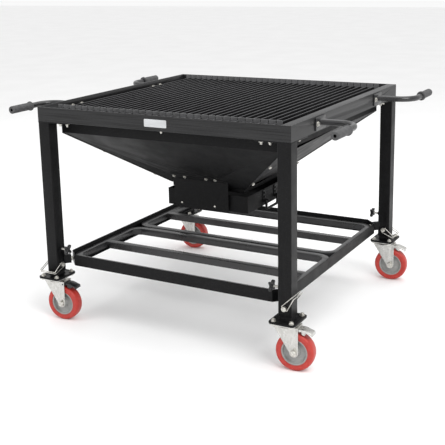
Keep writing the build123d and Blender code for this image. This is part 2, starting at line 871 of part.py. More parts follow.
def shelf_loop(span):
    """Round-cornered ring of flat tube with a hollow bar across its middle."""
    z0 = shelf_height - shelf_rail_height + shelf_rail_wall
    z1 = z0 + loop_bar_height
    x, bar, wall = loop_half_width(), loop_bar_width, loop_bar_wall
    middle = (span[0] + span[1]) / 2
    ring = rounded(x, span[0], span[1], z0, z1, loop_corner)
    hole = rounded(x - bar, span[0] + bar, span[1] - bar, z0 - 1, z1 + 1, loop_corner - bar)
    cross = block(-x + bar / 2, x - bar / 2, middle - bar / 2, middle + bar / 2, z0, z1)
    hollow = rounded(x - wall, span[0] + wall, span[1] - wall, z0 + wall, z1 - wall,
                     loop_corner - wall)
    core = rounded(x - bar + wall, span[0] + bar - wall, span[1] - bar + wall, z0, z1,
                   loop_corner - bar + wall)
    cross_hollow = block(-x + bar, x - bar, middle - bar / 2 + wall, middle + bar / 2 - wall,
                         z0 + wall, z1 - wall)
    loop = (ring - hole) + cross - (hollow - core) - cross_hollow
    for vent in ((0, middle), (0, span[0] + bar / 2)):
        loop = loop - rod((vent[0], vent[1], z0 - 1), (vent[0], vent[1], z0 + wall + 1),
                          loop_vent_radius)
    return loop


# ---- carrying handles -----------------------------------------------------
def handle_places(corner):
    """Bracket's middle, grip's axis X, grip's start and end Y."""
    sx, sy = CORNERS[corner]
    y = sy * (half_d - handle_inset)
    end = y + sy * handle_length
    return sx, sy, y, sx * (half_w + handle_reach), end - sy * grip_length, end


def carry_handle(corner):
    """Bracket plate with its bent tube."""
    sx, sy, y, grip_x, grip_start, end = handle_places(corner)
    face = sx * half_w
    plate = block(min(face, face + sx * bracket_wall), max(face, face + sx * bracket_wall),
                  y - bracket_length / 2, y + bracket_length / 2,
                  bracket_z() - bracket_height / 2, bracket_z() + bracket_height / 2)
    plate = fillet(plate.edges().filter_by(Axis.X), 5)
    route = FilletPolyline((face + sx * bracket_wall / 2, y, handle_height),
                           (grip_x, y, handle_height), (grip_x, end - sy * 3, handle_height),
                           radius=handle_bend)
    start = Plane(origin=route @ 0, z_dir=route % 0)
    tube = start * (Circle(handle_bar_radius) - Circle(handle_bar_radius - handle_bar_wall))
    handle = plate + sweep(tube, path=route)
    for spot, way in handle_bolt_spots():
        handle = handle - bolt_hole(spot, way, bracket_wall + rail_wall, frame_bolt)
    return handle


def handle_grip(corner):
    """Sleeve with a collar at its inner end."""
    sx, sy, y, grip_x, grip_start, end = handle_places(corner)
    sleeve = rod((grip_x, grip_start, handle_height), (grip_x, end, handle_height), grip_radius)
    collar = rod((grip_x, grip_start, handle_height),
                 (grip_x, grip_start + sy * grip_collar_length, handle_height),
                 grip_collar_radius)
    bore = rod((grip_x, grip_start - sy, handle_height), (grip_x, end - sy * 3, handle_height),
               handle_bar_radius)
    eye = rod((grip_x, end - sy * 5, handle_height), (grip_x, end + sy, handle_height),
              grip_bore_radius)
    return sleeve + collar - bore - eye


# ---- castors, built about the kingpin with the wheel trailing to +X --------
def castor_bolt_spots(corner):
    x, y = leg_centre(corner)
    z = castor_height - castor_plate_wall
    return [(x + a * castor_bolts_x / 2, y + b * castor_bolts_y / 2, z)
            for a in (-1, 1) for b in (-1, 1)]


def castor_mount(corner):
    """Castor's top plate with its race and kingpin, and its four bolts."""
    x, y = leg_centre(corner)
    low = castor_height - castor_plate_wall
    plate = block(x - castor_plate_x / 2, x + castor_plate_x / 2, y - castor_plate_y / 2,
                  y + castor_plate_y / 2, low, castor_height)
    plate = fillet(plate.edges().filter_by(Axis.Z), 10)
    crown_top = crown_height + crown_wall + slide_clearance
    race = rod((x, y, crown_top), (x, y, low), race_radius)
    pin = rod((x, y, crown_height - 3), (x, y, low), kingpin_radius)
    head = rod((x, y, crown_height - 3 - slide_clearance), (x, y, crown_height - slide_clearance),
               kingpin_head_radius)
    mount = plate + race + pin + head
    pieces = []
    grip = castor_plate_wall + base_plate_wall
    for spot in castor_bolt_spots(corner):
        mount = mount - bolt_hole(spot, (0, 0, 1), grip, frame_bolt)
        pieces.append(bolt(spot, (0, 0, 1), grip, frame_bolt))
    return [mount] + pieces


def castor_place(corner):
    x, y = leg_centre(corner)
    return Pos(x, y, 0) * Rot(0, 0, castor_rest_angle)


def fork_rear():
    """Kingpin to the fork's upright rear edge."""
    return fork_trail + fork_foot_radius


def fork_cheek(hand):
    """One tapered cheek with a round foot."""
    inner = hand * fork_gap / 2
    outline = Polyline((-fork_top_front, 0, crown_height), (fork_rear(), 0, crown_height),
                       (fork_rear(), 0, wheel_radius),
                       (fork_trail - fork_foot_radius, 0, wheel_radius), close=True)
    cheek = extrude(make_face(outline), amount=fork_wall, dir=(0, hand, 0))
    cheek = Pos(0, inner, 0) * cheek
    foot = rod((fork_trail, inner, wheel_radius), (fork_trail, inner + hand * fork_wall,
                                                  wheel_radius), fork_foot_radius)
    return cheek + foot


def fork(corner):
    """Crown and two cheeks, bored for the kingpin, axle and brake pivot."""
    half = fork_gap / 2 + fork_wall
    crown = rod((0, 0, crown_height), (0, 0, crown_height + crown_wall), crown_radius)
    top = block(-fork_top_front, fork_rear(), -half, half, crown_height,
                crown_height + crown_wall)
    body = crown + top + fork_cheek(1) + fork_cheek(-1)
    body = body - rod((0, 0, crown_height - 2), (0, 0, crown_height + crown_wall + 2),
                      kingpin_radius + running_clearance)
    body = body - rod((fork_trail, -half - 1, wheel_radius), (fork_trail, half + 1, wheel_radius),
                      axle_radius)
    body = body - rod((brake_pivot_x, -half - 1, brake_pivot_height),
                      (brake_pivot_x, half + 1, brake_pivot_height),
                      brake_pivot_radius + running_clearance)
    return castor_place(corner) * body


def axle(corner):
    half = fork_gap / 2 + fork_wall
    across = hex_across[2 * axle_radius]
    shaft = rod((fork_trail, -half - 3, wheel_radius), (fork_trail, half + 3, wheel_radius),
                axle_radius)
    nuts = [hexagon((fork_trail, hand * half, wheel_radius), (0, hand, 0), across, 7)
            for hand in (-1, 1)]
    return castor_place(corner) * joined([shaft] + nuts)


def wheel_profile(points):
    """Solid of revolution about the axle from (across, radius) points."""
    outline = make_face(Polyline(*[(a, r, 0) for a, r in points], close=True))
    turned_about_x = revolve(outline, Axis.X, 360)
    return Pos(fork_trail, 0, wheel_radius) * Rot(0, 0, 90) * turned_about_x


def tyre(corner):
    half = tyre_width / 2
    points = [(-half, core_radius), (half, core_radius), (half, wheel_radius - tyre_edge),
              (half - tyre_edge, wheel_radius - 0.8), (4, wheel_radius), (-4, wheel_radius),
              (-half + tyre_edge, wheel_radius - 0.8), (-half, wheel_radius - tyre_edge)]
    return castor_place(corner) * wheel_profile(points)


def wheel_core(corner):
    rim = tyre_width / 2 - 1
    web = core_web / 2
    hub = fork_gap / 2 - 0.5
    bore = axle_radius + running_clearance
    points = [(-hub, bore), (hub, bore), (hub, hub_radius), (web, hub_radius + 3),
              (web, core_radius - core_rim - 3), (rim, core_radius - core_rim),
              (rim, core_radius), (-rim, core_radius), (-rim, core_radius - core_rim),
              (-web, core_radius - core_rim - 3), (-web, hub_radius + 3), (-hub, hub_radius)]
    return castor_place(corner) * wheel_profile(points)


def brake(corner):
    """Foot pedal: a channel that tips about its cross pivot onto the tyre."""
    half = brake_width / 2
    top = brake_pivot_height + 3
    outline = [(brake_pivot_x - 5, brake_pivot_height - 5), (brake_pivot_x - 5, top + 1),
               (brake_pivot_x + 6, top + 1), (brake_pivot_x + 22, top),
               (brake_tip_x, brake_tip_height + 3), (brake_tip_x + 2, brake_tip_height - 6),
               (brake_tip_x - 2, brake_tip_height - 6),
               (brake_tip_x - 3, brake_tip_height - brake_wall),
               (brake_pivot_x + 22, top - brake_wall - 2),
               (brake_pivot_x + 6, brake_pivot_height - 5)]
    face = make_face(Polyline(*[(x, 0, z) for x, z in outline], close=True))
    pedal = extrude(face, amount=half, dir=(0, 1, 0), both=True)
    shoe = block(*brake_shoe_x, -half, half, wheel_radius, brake_pivot_height)
    shoe = shoe - rod((fork_trail, -half - 1, wheel_radius), (fork_trail, half + 1, wheel_radius),
                      wheel_radius + brake_shoe_gap)
    pedal = pedal + shoe
    reach = fork_gap / 2 + fork_wall + 1
    pivot = rod((brake_pivot_x, -reach, brake_pivot_height),
                (brake_pivot_x, reach, brake_pivot_height), brake_pivot_radius)
    return castor_place(corner) * (pedal + pivot)


# ---- every bolt of the fixed frame ----------------------------------------
def frame_bolts():
    bolts = []
    for spot in head_bolt_spots():
        bolts.append(bolt(spot, (0, 0, -1), rail_wall + head_wall, frame_bolt))
    for spot in tab_bolt_spots():
        bolts.append(bolt(spot, (0, 0, -1), rail_wall + hopper_wall, frame_bolt))
    for spot, way in handle_bolt_spots():
        grip = bracket_wall + rail_wall + (ledge_wall if spot[0] > 0 else 0)
        bolts.append(bolt(spot, way, grip, frame_bolt))
    for side in ("left", "right"):
        normal = slope_normal(side)
        for spot in seam_spots(side):
            start = Vector(spot) + normal * seam_wall
            bolts.append(turned(SIDES[side][0],
                                bolt(start, -normal, hopper_wall + seam_wall, seam_bolt)))
    for angle in (0, 180):
        normal = slope_normal("front")
        for spot in hanger_spots():
            start = Vector(spot) + normal * hanger_wall
            bolts.append(turned(angle, bolt(start, -normal, hopper_wall + hanger_wall, seam_bolt)))
        for spot in runner_screw_spots():
            bolts.append(turned(angle, bolt(spot, (0, 1, 0), hanger_wall + runner_wall,
                                            runner_screw, with_nut=False)))
    bolts += [corner_bolt(corner) for corner in CORNERS]
    return bolts


# ---- write every node -----------------------------------------------------
def nodes():
    parts = {f"{side}_rail": [top_rail(side)] for side in SIDES}
    parts["right_ledge"] = [right_ledge()]
    parts["combs"] = [comb(0), comb(180)]
    parts["slats"] = slats()
    parts["label_plate"] = [label_plate()]
    for side in SIDES:
        parts[f"hopper_{side}"] = [hopper_panel(side)]
    parts["hopper_left"] += seam_strips("left")
    parts["hopper_right"] += seam_strips("right")
    parts["drawer_hangers"] = [hanger(0), hanger(180)]
    parts["drawer_runners"] = [runner(0), runner(180)]
    parts["drawer_box"] = [drawer_box()]
    parts["pull_clips"] = pull_clips()
    parts["drawer_pull"] = [drawer_pull()]
    parts["outer_legs"] = [outer_leg(c) for c in CORNERS]
    parts["shelf_rails"] = shelf_rails()
    parts["shelf_loops"] = [shelf_loop(span) for span in loop_spans()]
    parts["carry_handles"] = [carry_handle(c) for c in CORNERS]
    parts["handle_grips"] = [handle_grip(c) for c in CORNERS]
    parts["lock_pins"] = [lock_pin(c) for c in CORNERS]
    parts["frame_bolts"] = frame_bolts()
    for c in CORNERS:
        parts[f"inner_leg_{c}"] = [inner_leg(c)]
        parts[f"castor_mount_{c}"] = castor_mount(c)
        parts[f"fork_{c}"] = [fork(c)]
        parts[f"axle_{c}"] = [axle(c)]
        parts[f"tyre_{c}"] = [tyre(c)]
        parts[f"wheel_core_{c}"] = [wheel_core(c)]
        parts[f"brake_pedal_{c}"] = [brake(c)]
        parts[f"pin_bail_{c}"] = [bail(c)]
        parts[f"clamp_knob_{c}"] = [clamp_knob(c)]
    return parts


os.makedirs("parts", exist_ok=True)
for name, shapes in nodes().items():
    solids = [solid for shape in shapes for solid in shape.solids()]
    export_step(Compound(children=solids), f"parts/{name}.step")
    print(name, len(solids))
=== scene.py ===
"""Looks of the slatted cutting table: coats, castings, wheels, fasteners, light and camera."""
import json
from math import cos, pi, radians, sin

import bmesh
import bpy
import numpy as np
from mathutils import Matrix, Vector

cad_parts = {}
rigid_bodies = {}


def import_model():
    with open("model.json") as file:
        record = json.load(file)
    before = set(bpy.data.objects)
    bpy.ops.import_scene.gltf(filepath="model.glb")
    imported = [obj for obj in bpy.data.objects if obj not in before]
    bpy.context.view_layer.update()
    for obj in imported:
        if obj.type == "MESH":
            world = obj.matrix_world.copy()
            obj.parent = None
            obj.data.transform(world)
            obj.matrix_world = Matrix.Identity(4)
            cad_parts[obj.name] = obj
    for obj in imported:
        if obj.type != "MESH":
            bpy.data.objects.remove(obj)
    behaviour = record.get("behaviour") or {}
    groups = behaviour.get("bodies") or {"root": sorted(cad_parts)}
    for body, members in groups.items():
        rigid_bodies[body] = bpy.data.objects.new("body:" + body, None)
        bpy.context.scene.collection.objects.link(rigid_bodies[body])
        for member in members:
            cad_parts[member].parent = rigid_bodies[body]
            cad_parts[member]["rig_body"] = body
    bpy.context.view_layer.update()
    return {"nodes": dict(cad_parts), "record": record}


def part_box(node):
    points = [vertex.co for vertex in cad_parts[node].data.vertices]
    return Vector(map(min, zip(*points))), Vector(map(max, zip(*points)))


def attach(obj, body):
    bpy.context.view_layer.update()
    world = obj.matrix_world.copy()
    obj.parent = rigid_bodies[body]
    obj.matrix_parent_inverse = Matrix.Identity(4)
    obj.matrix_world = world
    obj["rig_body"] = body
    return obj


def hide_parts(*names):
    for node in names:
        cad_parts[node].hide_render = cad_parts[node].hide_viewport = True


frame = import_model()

bl_info = {
    "name": "Cutting Table",
    "version": (1, 0, 0),
    "blender": (4, 5, 0),
    "location": "View3D > Sidebar > Cutting Table",
    "description": "Dresses a slatted cutting table on braked castors",
    "category": "Object",
}

MM = 0.001
CORNERS = ("fl", "fr", "bl", "br")
SIDES = ("front", "back", "left", "right")
SQUARE = ((-1, -1), (1, -1), (1, 1), (-1, 1))
SAME_PLACE = 1e-6  # vertices closer than this, in metres, are one

# Outlines of turned pieces, as (along the axis, radius) in millimetres. Those of the castor's
# mount start at the top of its plate, those of the wheel at its middle, the knob's and the
# grip's at their inner faces.
RACE = ((-13.6, 0), (-13.6, 25.6), (-12.6, 27.5), (-11, 28), (-9.4, 27.4), (-8.2, 25.2),
        (-5.6, 23.6), (-3.4, 24.6), (-3, 27.5), (-2.9, 0))
KINGPIN = ((-21.3, 0), (-21.3, 8.5), (-20.6, 10), (-19.4, 11), (-18.4, 11), (-18.3, 6.1),
           (-12.9, 6.1), (-12.9, 0))
TREAD_SIDE = ((18, 43), (18, 44.3), (17.4, 44.9), (17.4, 45.6), (18, 46.4), (18, 55.4),
              (17.5, 57.5), (16.3, 59.4), (14.4, 60.8), (12, 61.6), (7, 62.3), (3, 62.48))
CORE_SIDE = ((19.8, 6.1), (19.8, 13.4), (19.2, 14.6), (17.5, 15.2), (9, 17), (6.6, 18.4),
             (6, 20.5), (6, 33), (6.8, 35.4), (9, 36.8), (15, 38), (16.6, 38.6), (17, 39.4),
             (17, 42.2), (16.6, 43))
SHIELD = ((19.7, 6.3), (20.2, 6.5), (20.2, 8.2), (20.0, 8.4), (20.0, 11.2), (20.2, 11.4),
          (20.2, 12.4), (19.7, 12.8))
KNOB_HUB = ((0, 0), (0, 5.5), (0.8, 6.5), (11, 8.5), (13, 8.5), (14, 7.8), (14, 0))
GRIP_FLANGE = ((0, 10.1), (0, 15.6), (0.5, 16.5), (1.4, 16.9), (2.8, 16.9), (3.6, 16.4),
               (4.2, 14.6), (5.4, 13.6))
GRIP_RIB = ((0, 13.5), (1.2, 13.1), (2.4, 13.1), (3.6, 13.5))
GRIP_END = ((-3, 13.5), (-1.2, 13.1), (-0.3, 12.2), (0, 11), (0, 5.8), (-0.5, 5.1), (-3, 5),
            (-3, 10.1))
RIVET = ((0, 0), (0, 1.0), (0.3, 0.9), (0.5, 0.5), (0.56, 0))  # in shank radii

# A castor's plate and a knob's lobes.
PLATE_HALF = (42.5 * MM, 52.5 * MM)
PLATE_CORNER = 10 * MM
PLATE_THICK = 3 * MM
LOBE_POINTS = 96
LOBE_MIDDLE, LOBE_SWING = 13.2, 6.8
LOBE_BACK, LOBE_THICK = 12 * MM, 11.2 * MM
STUD_START, STUD_RADIUS = 13 * MM, 4 * MM

# Fasteners in shares of the distance across the hexagon's corners.
HEAD_THICK, NUT_THICK = 0.34, 0.43
SHANK_RADIUS = 0.26
LONGEST_BOLT = 60 * MM

# Camera and lights. The shifts are shares of the sensor's width.
SENSOR_WIDTH = 36.0
LENS_SHIFT = (0.0307, -0.1255)
LIGHTS = (("key", (2.6, -1.6, 2.9), 2.2, 1.0), ("fill", (-2.8, -2.4, 2.2), 2.4, 0.3),
          ("top", (0.2, 0.6, 3.4), 2.8, 0.6))
LIT_POINT = (0, 0, 0.45)
FLOOR_HALF, FLOOR_DROP = 20.0, 0.4 * MM


# ---- colours and materials --------------------------------------------------
def linear(colour):
    """Linear RGBA from an sRGB hex value; one from the panel is linear already."""
    if not isinstance(colour, str):
        return list(colour)
    channels = [int(colour[i:i + 2], 16) / 255 for i in (1, 3, 5)]
    return [c / 12.92 if c <= 0.04045 else ((c + 0.055) / 1.055) ** 2.4 for c in channels] + [1.0]


def add(tree, kind, inputs=None, **settings):
    """Add a node, set its properties, and set or link its inputs."""
    made = tree.nodes.new(kind)
    for key, value in settings.items():
        setattr(made, key, value)
    for key, value in (inputs or {}).items():
        if isinstance(value, bpy.types.NodeSocket):
            tree.links.new(value, made.inputs[key])
        else:
            made.inputs[key].default_value = value
    return made


def blank(name):
    """A material with an output and a shader, and the place on the object."""
    made = bpy.data.materials.new(name)
    made.use_nodes = True
    tree = made.node_tree
    tree.nodes.clear()
    shader = add(tree, "ShaderNodeBsdfPrincipled")
    add(tree, "ShaderNodeOutputMaterial", {"Surface": shader.outputs[0]})
    place = add(tree, "ShaderNodeTexCoord").outputs["Object"]
    return made, tree, shader, place


def tinted(tree, pattern, low, high, reach=(0.35, 0.65), most=1.0):
    """Colour that goes from low toward high as a pattern goes over its reach."""
    share = add(tree, "ShaderNodeMapRange", {"Value": pattern, "From Min": reach[0],
                                             "From Max": reach[1], "To Max": most})
    mixed = add(tree, "ShaderNodeMix", {0: share.outputs[0], 6: low, 7: high}, data_type="RGBA")
    return mixed.outputs[2]


def surfaced(tree, shader, colour, pattern, dull, relief, depth, strength):
    """Lay on a colour, a roughness that follows a pattern, and a relief of some depth."""
    rough = add(tree, "ShaderNodeMapRange", {"Value": pattern, "From Min": 0.35,
                                             "From Max": 0.65, "To Min": dull[0],
                                             "To Max": dull[1]})
    skin = add(tree, "ShaderNodeBump", {"Height": relief, "Distance": depth,
                                        "Strength": strength})
    tree.links.new(colour, shader.inputs["Base Color"])
    tree.links.new(rough.outputs[0], shader.inputs["Roughness"])
    tree.links.new(skin.outputs[0], shader.inputs["Normal"])


def powder_coat(name, colour, bright, roughness, gloss, size=60 * MM, stretch=(1.0, 1.0, 1.0)):
    """Polyester powder baked on steel: satin black, faintly clouded, with an orange-peel skin.

    Real orange peel is about 1 mm across; it is drawn at twice that so that it shows."""
    made, tree, shader, place = blank(name)
    drawn = add(tree, "ShaderNodeMapping", {"Vector": place, "Scale": stretch}).outputs[0]
    cloud = add(tree, "ShaderNodeTexNoise", {"Vector": drawn, "Scale": 1 / size,
                                             "Detail": 4.0}).outputs["Fac"]
    dust = add(tree, "ShaderNodeTexNoise", {"Vector": place, "Scale": 1 / (4 * MM),
                                            "Detail": 5.0}).outputs["Fac"]
    peel = add(tree, "ShaderNodeTexNoise", {"Vector": place, "Scale": 1 / (2.2 * MM),
                                            "Detail": 2.0}).outputs["Fac"]
    # The clouds run from colour to bright; where they are stretched into streaks, as on the rails,
    # they are painted highlight.
    base = tinted(tree, cloud, linear(colour), linear(bright))
    base = tinted(tree, dust, base, linear("#6a6a6c"), (0.5, 0.75), 0.05)
    shader.inputs["Specular IOR Level"].default_value = gloss
    surfaced(tree, shader, base, cloud, (roughness - 0.05, roughness + 0.07),
             peel, 0.12 * MM, 0.35)
    return made


def slat_coat():
    """Dark bar steel, with a painted highlight: the top edge of each slat is painted pale grey."""
    made, tree, shader, place = blank("slat_bar_steel")
    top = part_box("slats")[1].z
    height = add(tree, "ShaderNodeSeparateXYZ", {0: place}).outputs["Z"]
    drawn = add(tree, "ShaderNodeMapping", {"Vector": place, "Scale": (1.0, 0.35, 1.0)}).outputs[0]
    patch = add(tree, "ShaderNodeTexNoise", {"Vector": drawn, "Scale": 1 / (25 * MM),
                                             "Detail": 5.0}).outputs["Fac"]
    mill = add(tree, "ShaderNodeTexNoise", {"Vector": place, "Scale": 1 / (1.5 * MM),
                                            "Detail": 3.0}).outputs["Fac"]
    # Mask of a painted highlight: the top 2 mm of each slat, patchy along its length.
    edge = add(tree, "ShaderNodeMapRange", {"Value": height, "From Min": top - 2.0 * MM,
                                            "From Max": top - 0.2 * MM}).outputs[0]
    highlight_patchiness = add(tree, "ShaderNodeMapRange", {"Value": patch, "From Min": 0.35, "From Max": 0.65,
                                              "To Min": 0.55, "To Max": 0.85}).outputs[0]
    edge_highlight = add(tree, "ShaderNodeMath", {0: edge, 1: highlight_patchiness}, operation="MULTIPLY").outputs[0]
    base = tinted(tree, patch, linear("#070708"), linear("#0c0c0d"))
    # Painted highlight: the slats' top edges painted pale grey.
    base = tinted(tree, edge_highlight, base, linear("#555557"), (0.0, 1.0))
    shader.inputs["Specular IOR Level"].default_value = 0.16
    surfaced(tree, shader, base, patch, (0.40, 0.55), mill, 0.1 * MM, 0.35)
    return made


def zinc_plate(name, colour, shade, roughness, streak=(1.0, 1.0, 1.0)):
    """Bright zinc plating: a pale warm metal, faintly cloudy where the passivation is thicker."""
    made, tree, shader, place = blank(name)
    drawn = add(tree, "ShaderNodeMapping", {"Vector": place, "Scale": streak}).outputs[0]
    cloud = add(tree, "ShaderNodeTexNoise", {"Vector": drawn, "Scale": 1 / (7 * MM),
                                             "Detail": 4.0}).outputs["Fac"]
    grain = add(tree, "ShaderNodeTexNoise", {"Vector": place, "Scale": 1 / (1.2 * MM),
                                             "Detail": 2.0}).outputs["Fac"]
    base = tinted(tree, cloud, linear(colour), linear(shade))
    shader.inputs["Metallic"].default_value = 1.0
    surfaced(tree, shader, base, cloud, (roughness - 0.06, roughness + 0.1),
             grain, 0.05 * MM, 0.25)
    return made


def polyurethane():
    """Cast polyurethane tread: dense orange-red, slightly waxy, with fine dusty flecks all over.
    """
    made, tree, shader, place = blank("cast_polyurethane")
    cloud = add(tree, "ShaderNodeTexNoise", {"Vector": place, "Scale": 1 / (12 * MM),
                                             "Detail": 4.0}).outputs["Fac"]
    fleck = add(tree, "ShaderNodeTexNoise", {"Vector": place, "Scale": 1 / (1.6 * MM),
                                             "Detail": 4.0}).outputs["Fac"]
    colours = colour_settings()
    base = tinted(tree, cloud, linear(colours.tread), linear(colours.tread_cloud))
    base = tinted(tree, fleck, base, linear("#7c241c"), (0.55, 0.8), 0.25)
    shader.inputs["IOR"].default_value = 1.5
    shader.inputs["Subsurface Weight"].default_value = 0.06
    shader.inputs["Subsurface Radius"].default_value = (4 * MM, 1 * MM, 0.7 * MM)
    surfaced(tree, shader, base, fleck, (0.34, 0.46), fleck, 0.08 * MM, 0.3)
    return made


def moulded(name, colour, bright, roughness, grain, depth, ior=1.5):
    """Moulded polymer with a fine eroded texture from its tool."""
    made, tree, shader, place = blank(name)
    pebble = add(tree, "ShaderNodeTexNoise", {"Vector": place, "Scale": 1 / grain,
                                              "Detail": 3.0}).outputs["Fac"]
    cloud = add(tree, "ShaderNodeTexNoise", {"Vector": place, "Scale": 1 / (15 * MM),
                                             "Detail": 3.0}).outputs["Fac"]
    base = tinted(tree, cloud, linear(colour), linear(bright))
    shader.inputs["IOR"].default_value = ior
    surfaced(tree, shader, base, pebble, (roughness - 0.05, roughness + 0.08),
             pebble, depth, 0.5)
    return made


def floor_paint():
    """Pale matt studio floor."""
    made, tree, shader, place = blank("studio_floor")
    cloud = add(tree, "ShaderNodeTexNoise", {"Vector": place, "Scale": 1 / (400 * MM),
                                             "Detail": 2.0}).outputs["Fac"]
    base = tinted(tree, cloud, linear("#f4f4f4"), linear("#f7f7f7"))
    tree.links.new(base, shader.inputs["Base Color"])
    shader.inputs["Roughness"].default_value = 0.9
    shader.inputs["Specular IOR Level"].default_value = 0.1
    return made


FINISHES = {}


def finish_named(name):
    """The material of that name, made once."""
    colours = colour_settings()
    recipes = {
        "coat": lambda: powder_coat("black_powder_coat", colours.coat, colours.coat_cloud,
                                    0.42, 0.14),
        # Painted highlight: the rails' black coat with horizontal streaks of lighter grey
        # stretched along them.
        "rail_highlight_streaks": lambda: powder_coat("rail_powder_highlight_streaks", "#0c0c0d", "#282829", 0.38, 0.3,
                                         12 * MM, (0.05, 0.05, 4.0)),
        "loop_coat": lambda: powder_coat("bar_powder_coat", "#141415", "#202022", 0.30, 0.6),
        # Painted light: the combs' black coat drawn mid grey, a lit copy of the black powder coat.
        "comb_lit_coat": lambda: powder_coat("comb_lit_powder_coat", "#333334", "#474749", 0.36, 0.5),
        "sheet_coat": lambda: powder_coat("sheet_powder_coat", "#0a0a0b", "#0f0f10", 0.5, 0.12),
        "slat": slat_coat,
        "zinc": lambda: zinc_plate("zinc_fastener", "#d6d4ce", "#b4b2ab", 0.42),
        "castor_zinc": lambda: zinc_plate("zinc_pressing", "#cfcecb", "#bfbeba", 0.30,
                                          (1.0, 1.0, 0.4)),
        "wire": lambda: zinc_plate("zinc_wire", "#d2d0ca", "#aaa8a2", 0.28),
        "label": lambda: zinc_plate("anodised_plate", "#d0d2d4", "#c6c8ca", 0.42, (0.2, 1.0, 4.0)),
        "tread": polyurethane,
        "core": lambda: moulded("grey_nylon", "#8a8a88", "#969694", 0.38, 1.0 * MM, 0.05 * MM),
        "grip": lambda: moulded("grip_rubber", "#3c3c3d", "#484849", 0.66, 1.4 * MM, 0.35 * MM),
        "knob": lambda: moulded("black_thermoset", "#0d0d0e", "#141415", 0.34, 0.8 * MM,
                                0.04 * MM, 1.55),
        "floor": floor_paint,
    }
    if name not in FINISHES:
        FINISHES[name] = recipes[name]()
    return FINISHES[name]


# ---- mesh helpers -----------------------------------------------------------
def new_object(name, mesh):
    made = bpy.data.objects.new(name, mesh)
    bpy.context.scene.collection.objects.link(made)
    return made


def from_bmesh(name, bm):
    mesh = bpy.data.meshes.new(name)
    bm.to_mesh(mesh)
    bm.free()
    return new_object(name, mesh)


def smooth(piece, angle=32.0):
    """Smooth shading with creases kept at sharp edges."""
    mesh = piece.data
    mesh.polygons.foreach_set("use_smooth", [True] * len(mesh.polygons))
    mesh.set_sharp_from_angle(angle=radians(angle))
    mesh.update()


def finish_piece(piece, body, finish, nodes=(), angle=32.0):
    """Give a piece its material, shading and body, and hide the nodes it stands for."""
    if finish:
        piece.data.materials.clear()
        piece.data.materials.append(finish_named(finish))
    smooth(piece, angle)
    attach(piece, body)
    if nodes:
        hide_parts(*nodes)
    return piece


def cad_mesh(node):
    """A merged copy of a node's mesh, with its flat faces whole again."""
    bm = bmesh.new()
    bm.from_mesh(frame["nodes"][node].data)
    bmesh.ops.remove_doubles(bm, verts=bm.verts, dist=SAME_PLACE)
    bmesh.ops.dissolve_limit(bm, angle_limit=radians(0.5), verts=bm.verts, edges=bm.edges)
    return bm


def baked(piece):
    """Turn a piece's modifiers into its mesh."""
    view = bpy.context.evaluated_depsgraph_get()
    mesh = bpy.data.meshes.new_from_object(piece.evaluated_get(view))
    piece.modifiers.clear()
    piece.data = mesh
    return piece


def soften(piece, width, segments=2, angle=34.0, clamp=False):
    """Round a piece's edges, as bending, sawing and the coat leave them."""
    edge = piece.modifiers.new("Edges", "BEVEL")
    edge.width = width
    edge.segments = segments
    edge.limit_method = "ANGLE"
    edge.angle_limit = radians(angle)
    edge.use_clamp_overlap = clamp
    return baked(piece)


def body_of(node):
    return frame["nodes"][node]["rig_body"]


def dressed(node, name, finish, width, clamp=False):
    """A node's own shape with rounded edges and its finish."""
    piece = soften(from_bmesh(name, cad_mesh(node)), width, clamp=clamp)
    return finish_piece(piece, body_of(node), finish, (node,))


def rounded_outline(points, radius, steps=4):
    """Outline with each corner turned into an arc."""
    made = []
    count = len(points)
    for i, point in enumerate(points):
        here = Vector(point)
        before = Vector(points[i - 1]) - here
        after = Vector(points[(i + 1) % count]) - here
        reach = min(radius, before.length * 0.45, after.length * 0.45)
        start, end = here + before.normalized() * reach, here + after.normalized() * reach
        for step in range(steps + 1):
            t = step / steps
            made.append(tuple((start * (1 - t) + here * t) * (1 - t)
                              + (here * (1 - t) + end * t) * t))
    return made


def in_metres(outline):
    return [(a * MM, r * MM) for a, r in outline]


def both_sides(side):
    """A wheel part's whole outline, in metres, from the outline of one side."""
    return in_metres(side + tuple((-a, r) for a, r in reversed(side)))


def lathe(name, outline, centre, axis, steps=72):
    """Closed ring or disc turned from (along, radius) points about an axis."""
    along = Vector(axis).normalized()
    side = along.orthogonal().normalized()
    other = along.cross(side)
    bm = bmesh.new()
    rings = []
    for i in range(steps):
        spoke = side * cos(2 * pi * i / steps) + other * sin(2 * pi * i / steps)
        rings.append([bm.verts.new(centre + along * a + spoke * max(r, 0)) for a, r in outline])
    count = len(outline)
    for i in range(steps):
        ahead = rings[(i + 1) % steps]
        for j in range(count):
            k = (j + 1) % count
            if outline[j][1] <= 0 and outline[k][1] <= 0:
                continue
            bm.faces.new((rings[i][j], rings[i][k], ahead[k], ahead[j]))
    bmesh.ops.remove_doubles(bm, verts=bm.verts, dist=SAME_PLACE)
    bmesh.ops.recalc_face_normals(bm, faces=bm.faces)
    return from_bmesh(name, bm)


def plate(name, outline, origin, right, up, thickness):
    """Slab with an outline in the plane of right and up."""
    right, up = Vector(right), Vector(up)
    out = right.cross(up)
    bm = bmesh.new()
    base = [bm.verts.new(Vector(origin) + right * a + up * b) for a, b in outline]
    face = bm.faces.new(base)
    moved = bmesh.ops.extrude_face_region(bm, geom=[face])
    tops = [v for v in moved["geom"] if isinstance(v, bmesh.types.BMVert)]
    bmesh.ops.translate(bm, verts=tops, vec=out * thickness)
    bmesh.ops.recalc_face_normals(bm, faces=bm.faces)
    return from_bmesh(name, bm)


def merged(name, pieces):
    """One object from several."""
    bm = bmesh.new()
    for piece in pieces:
        bm.from_mesh(piece.data)
        bpy.data.objects.remove(piece)
    return from_bmesh(name, bm)


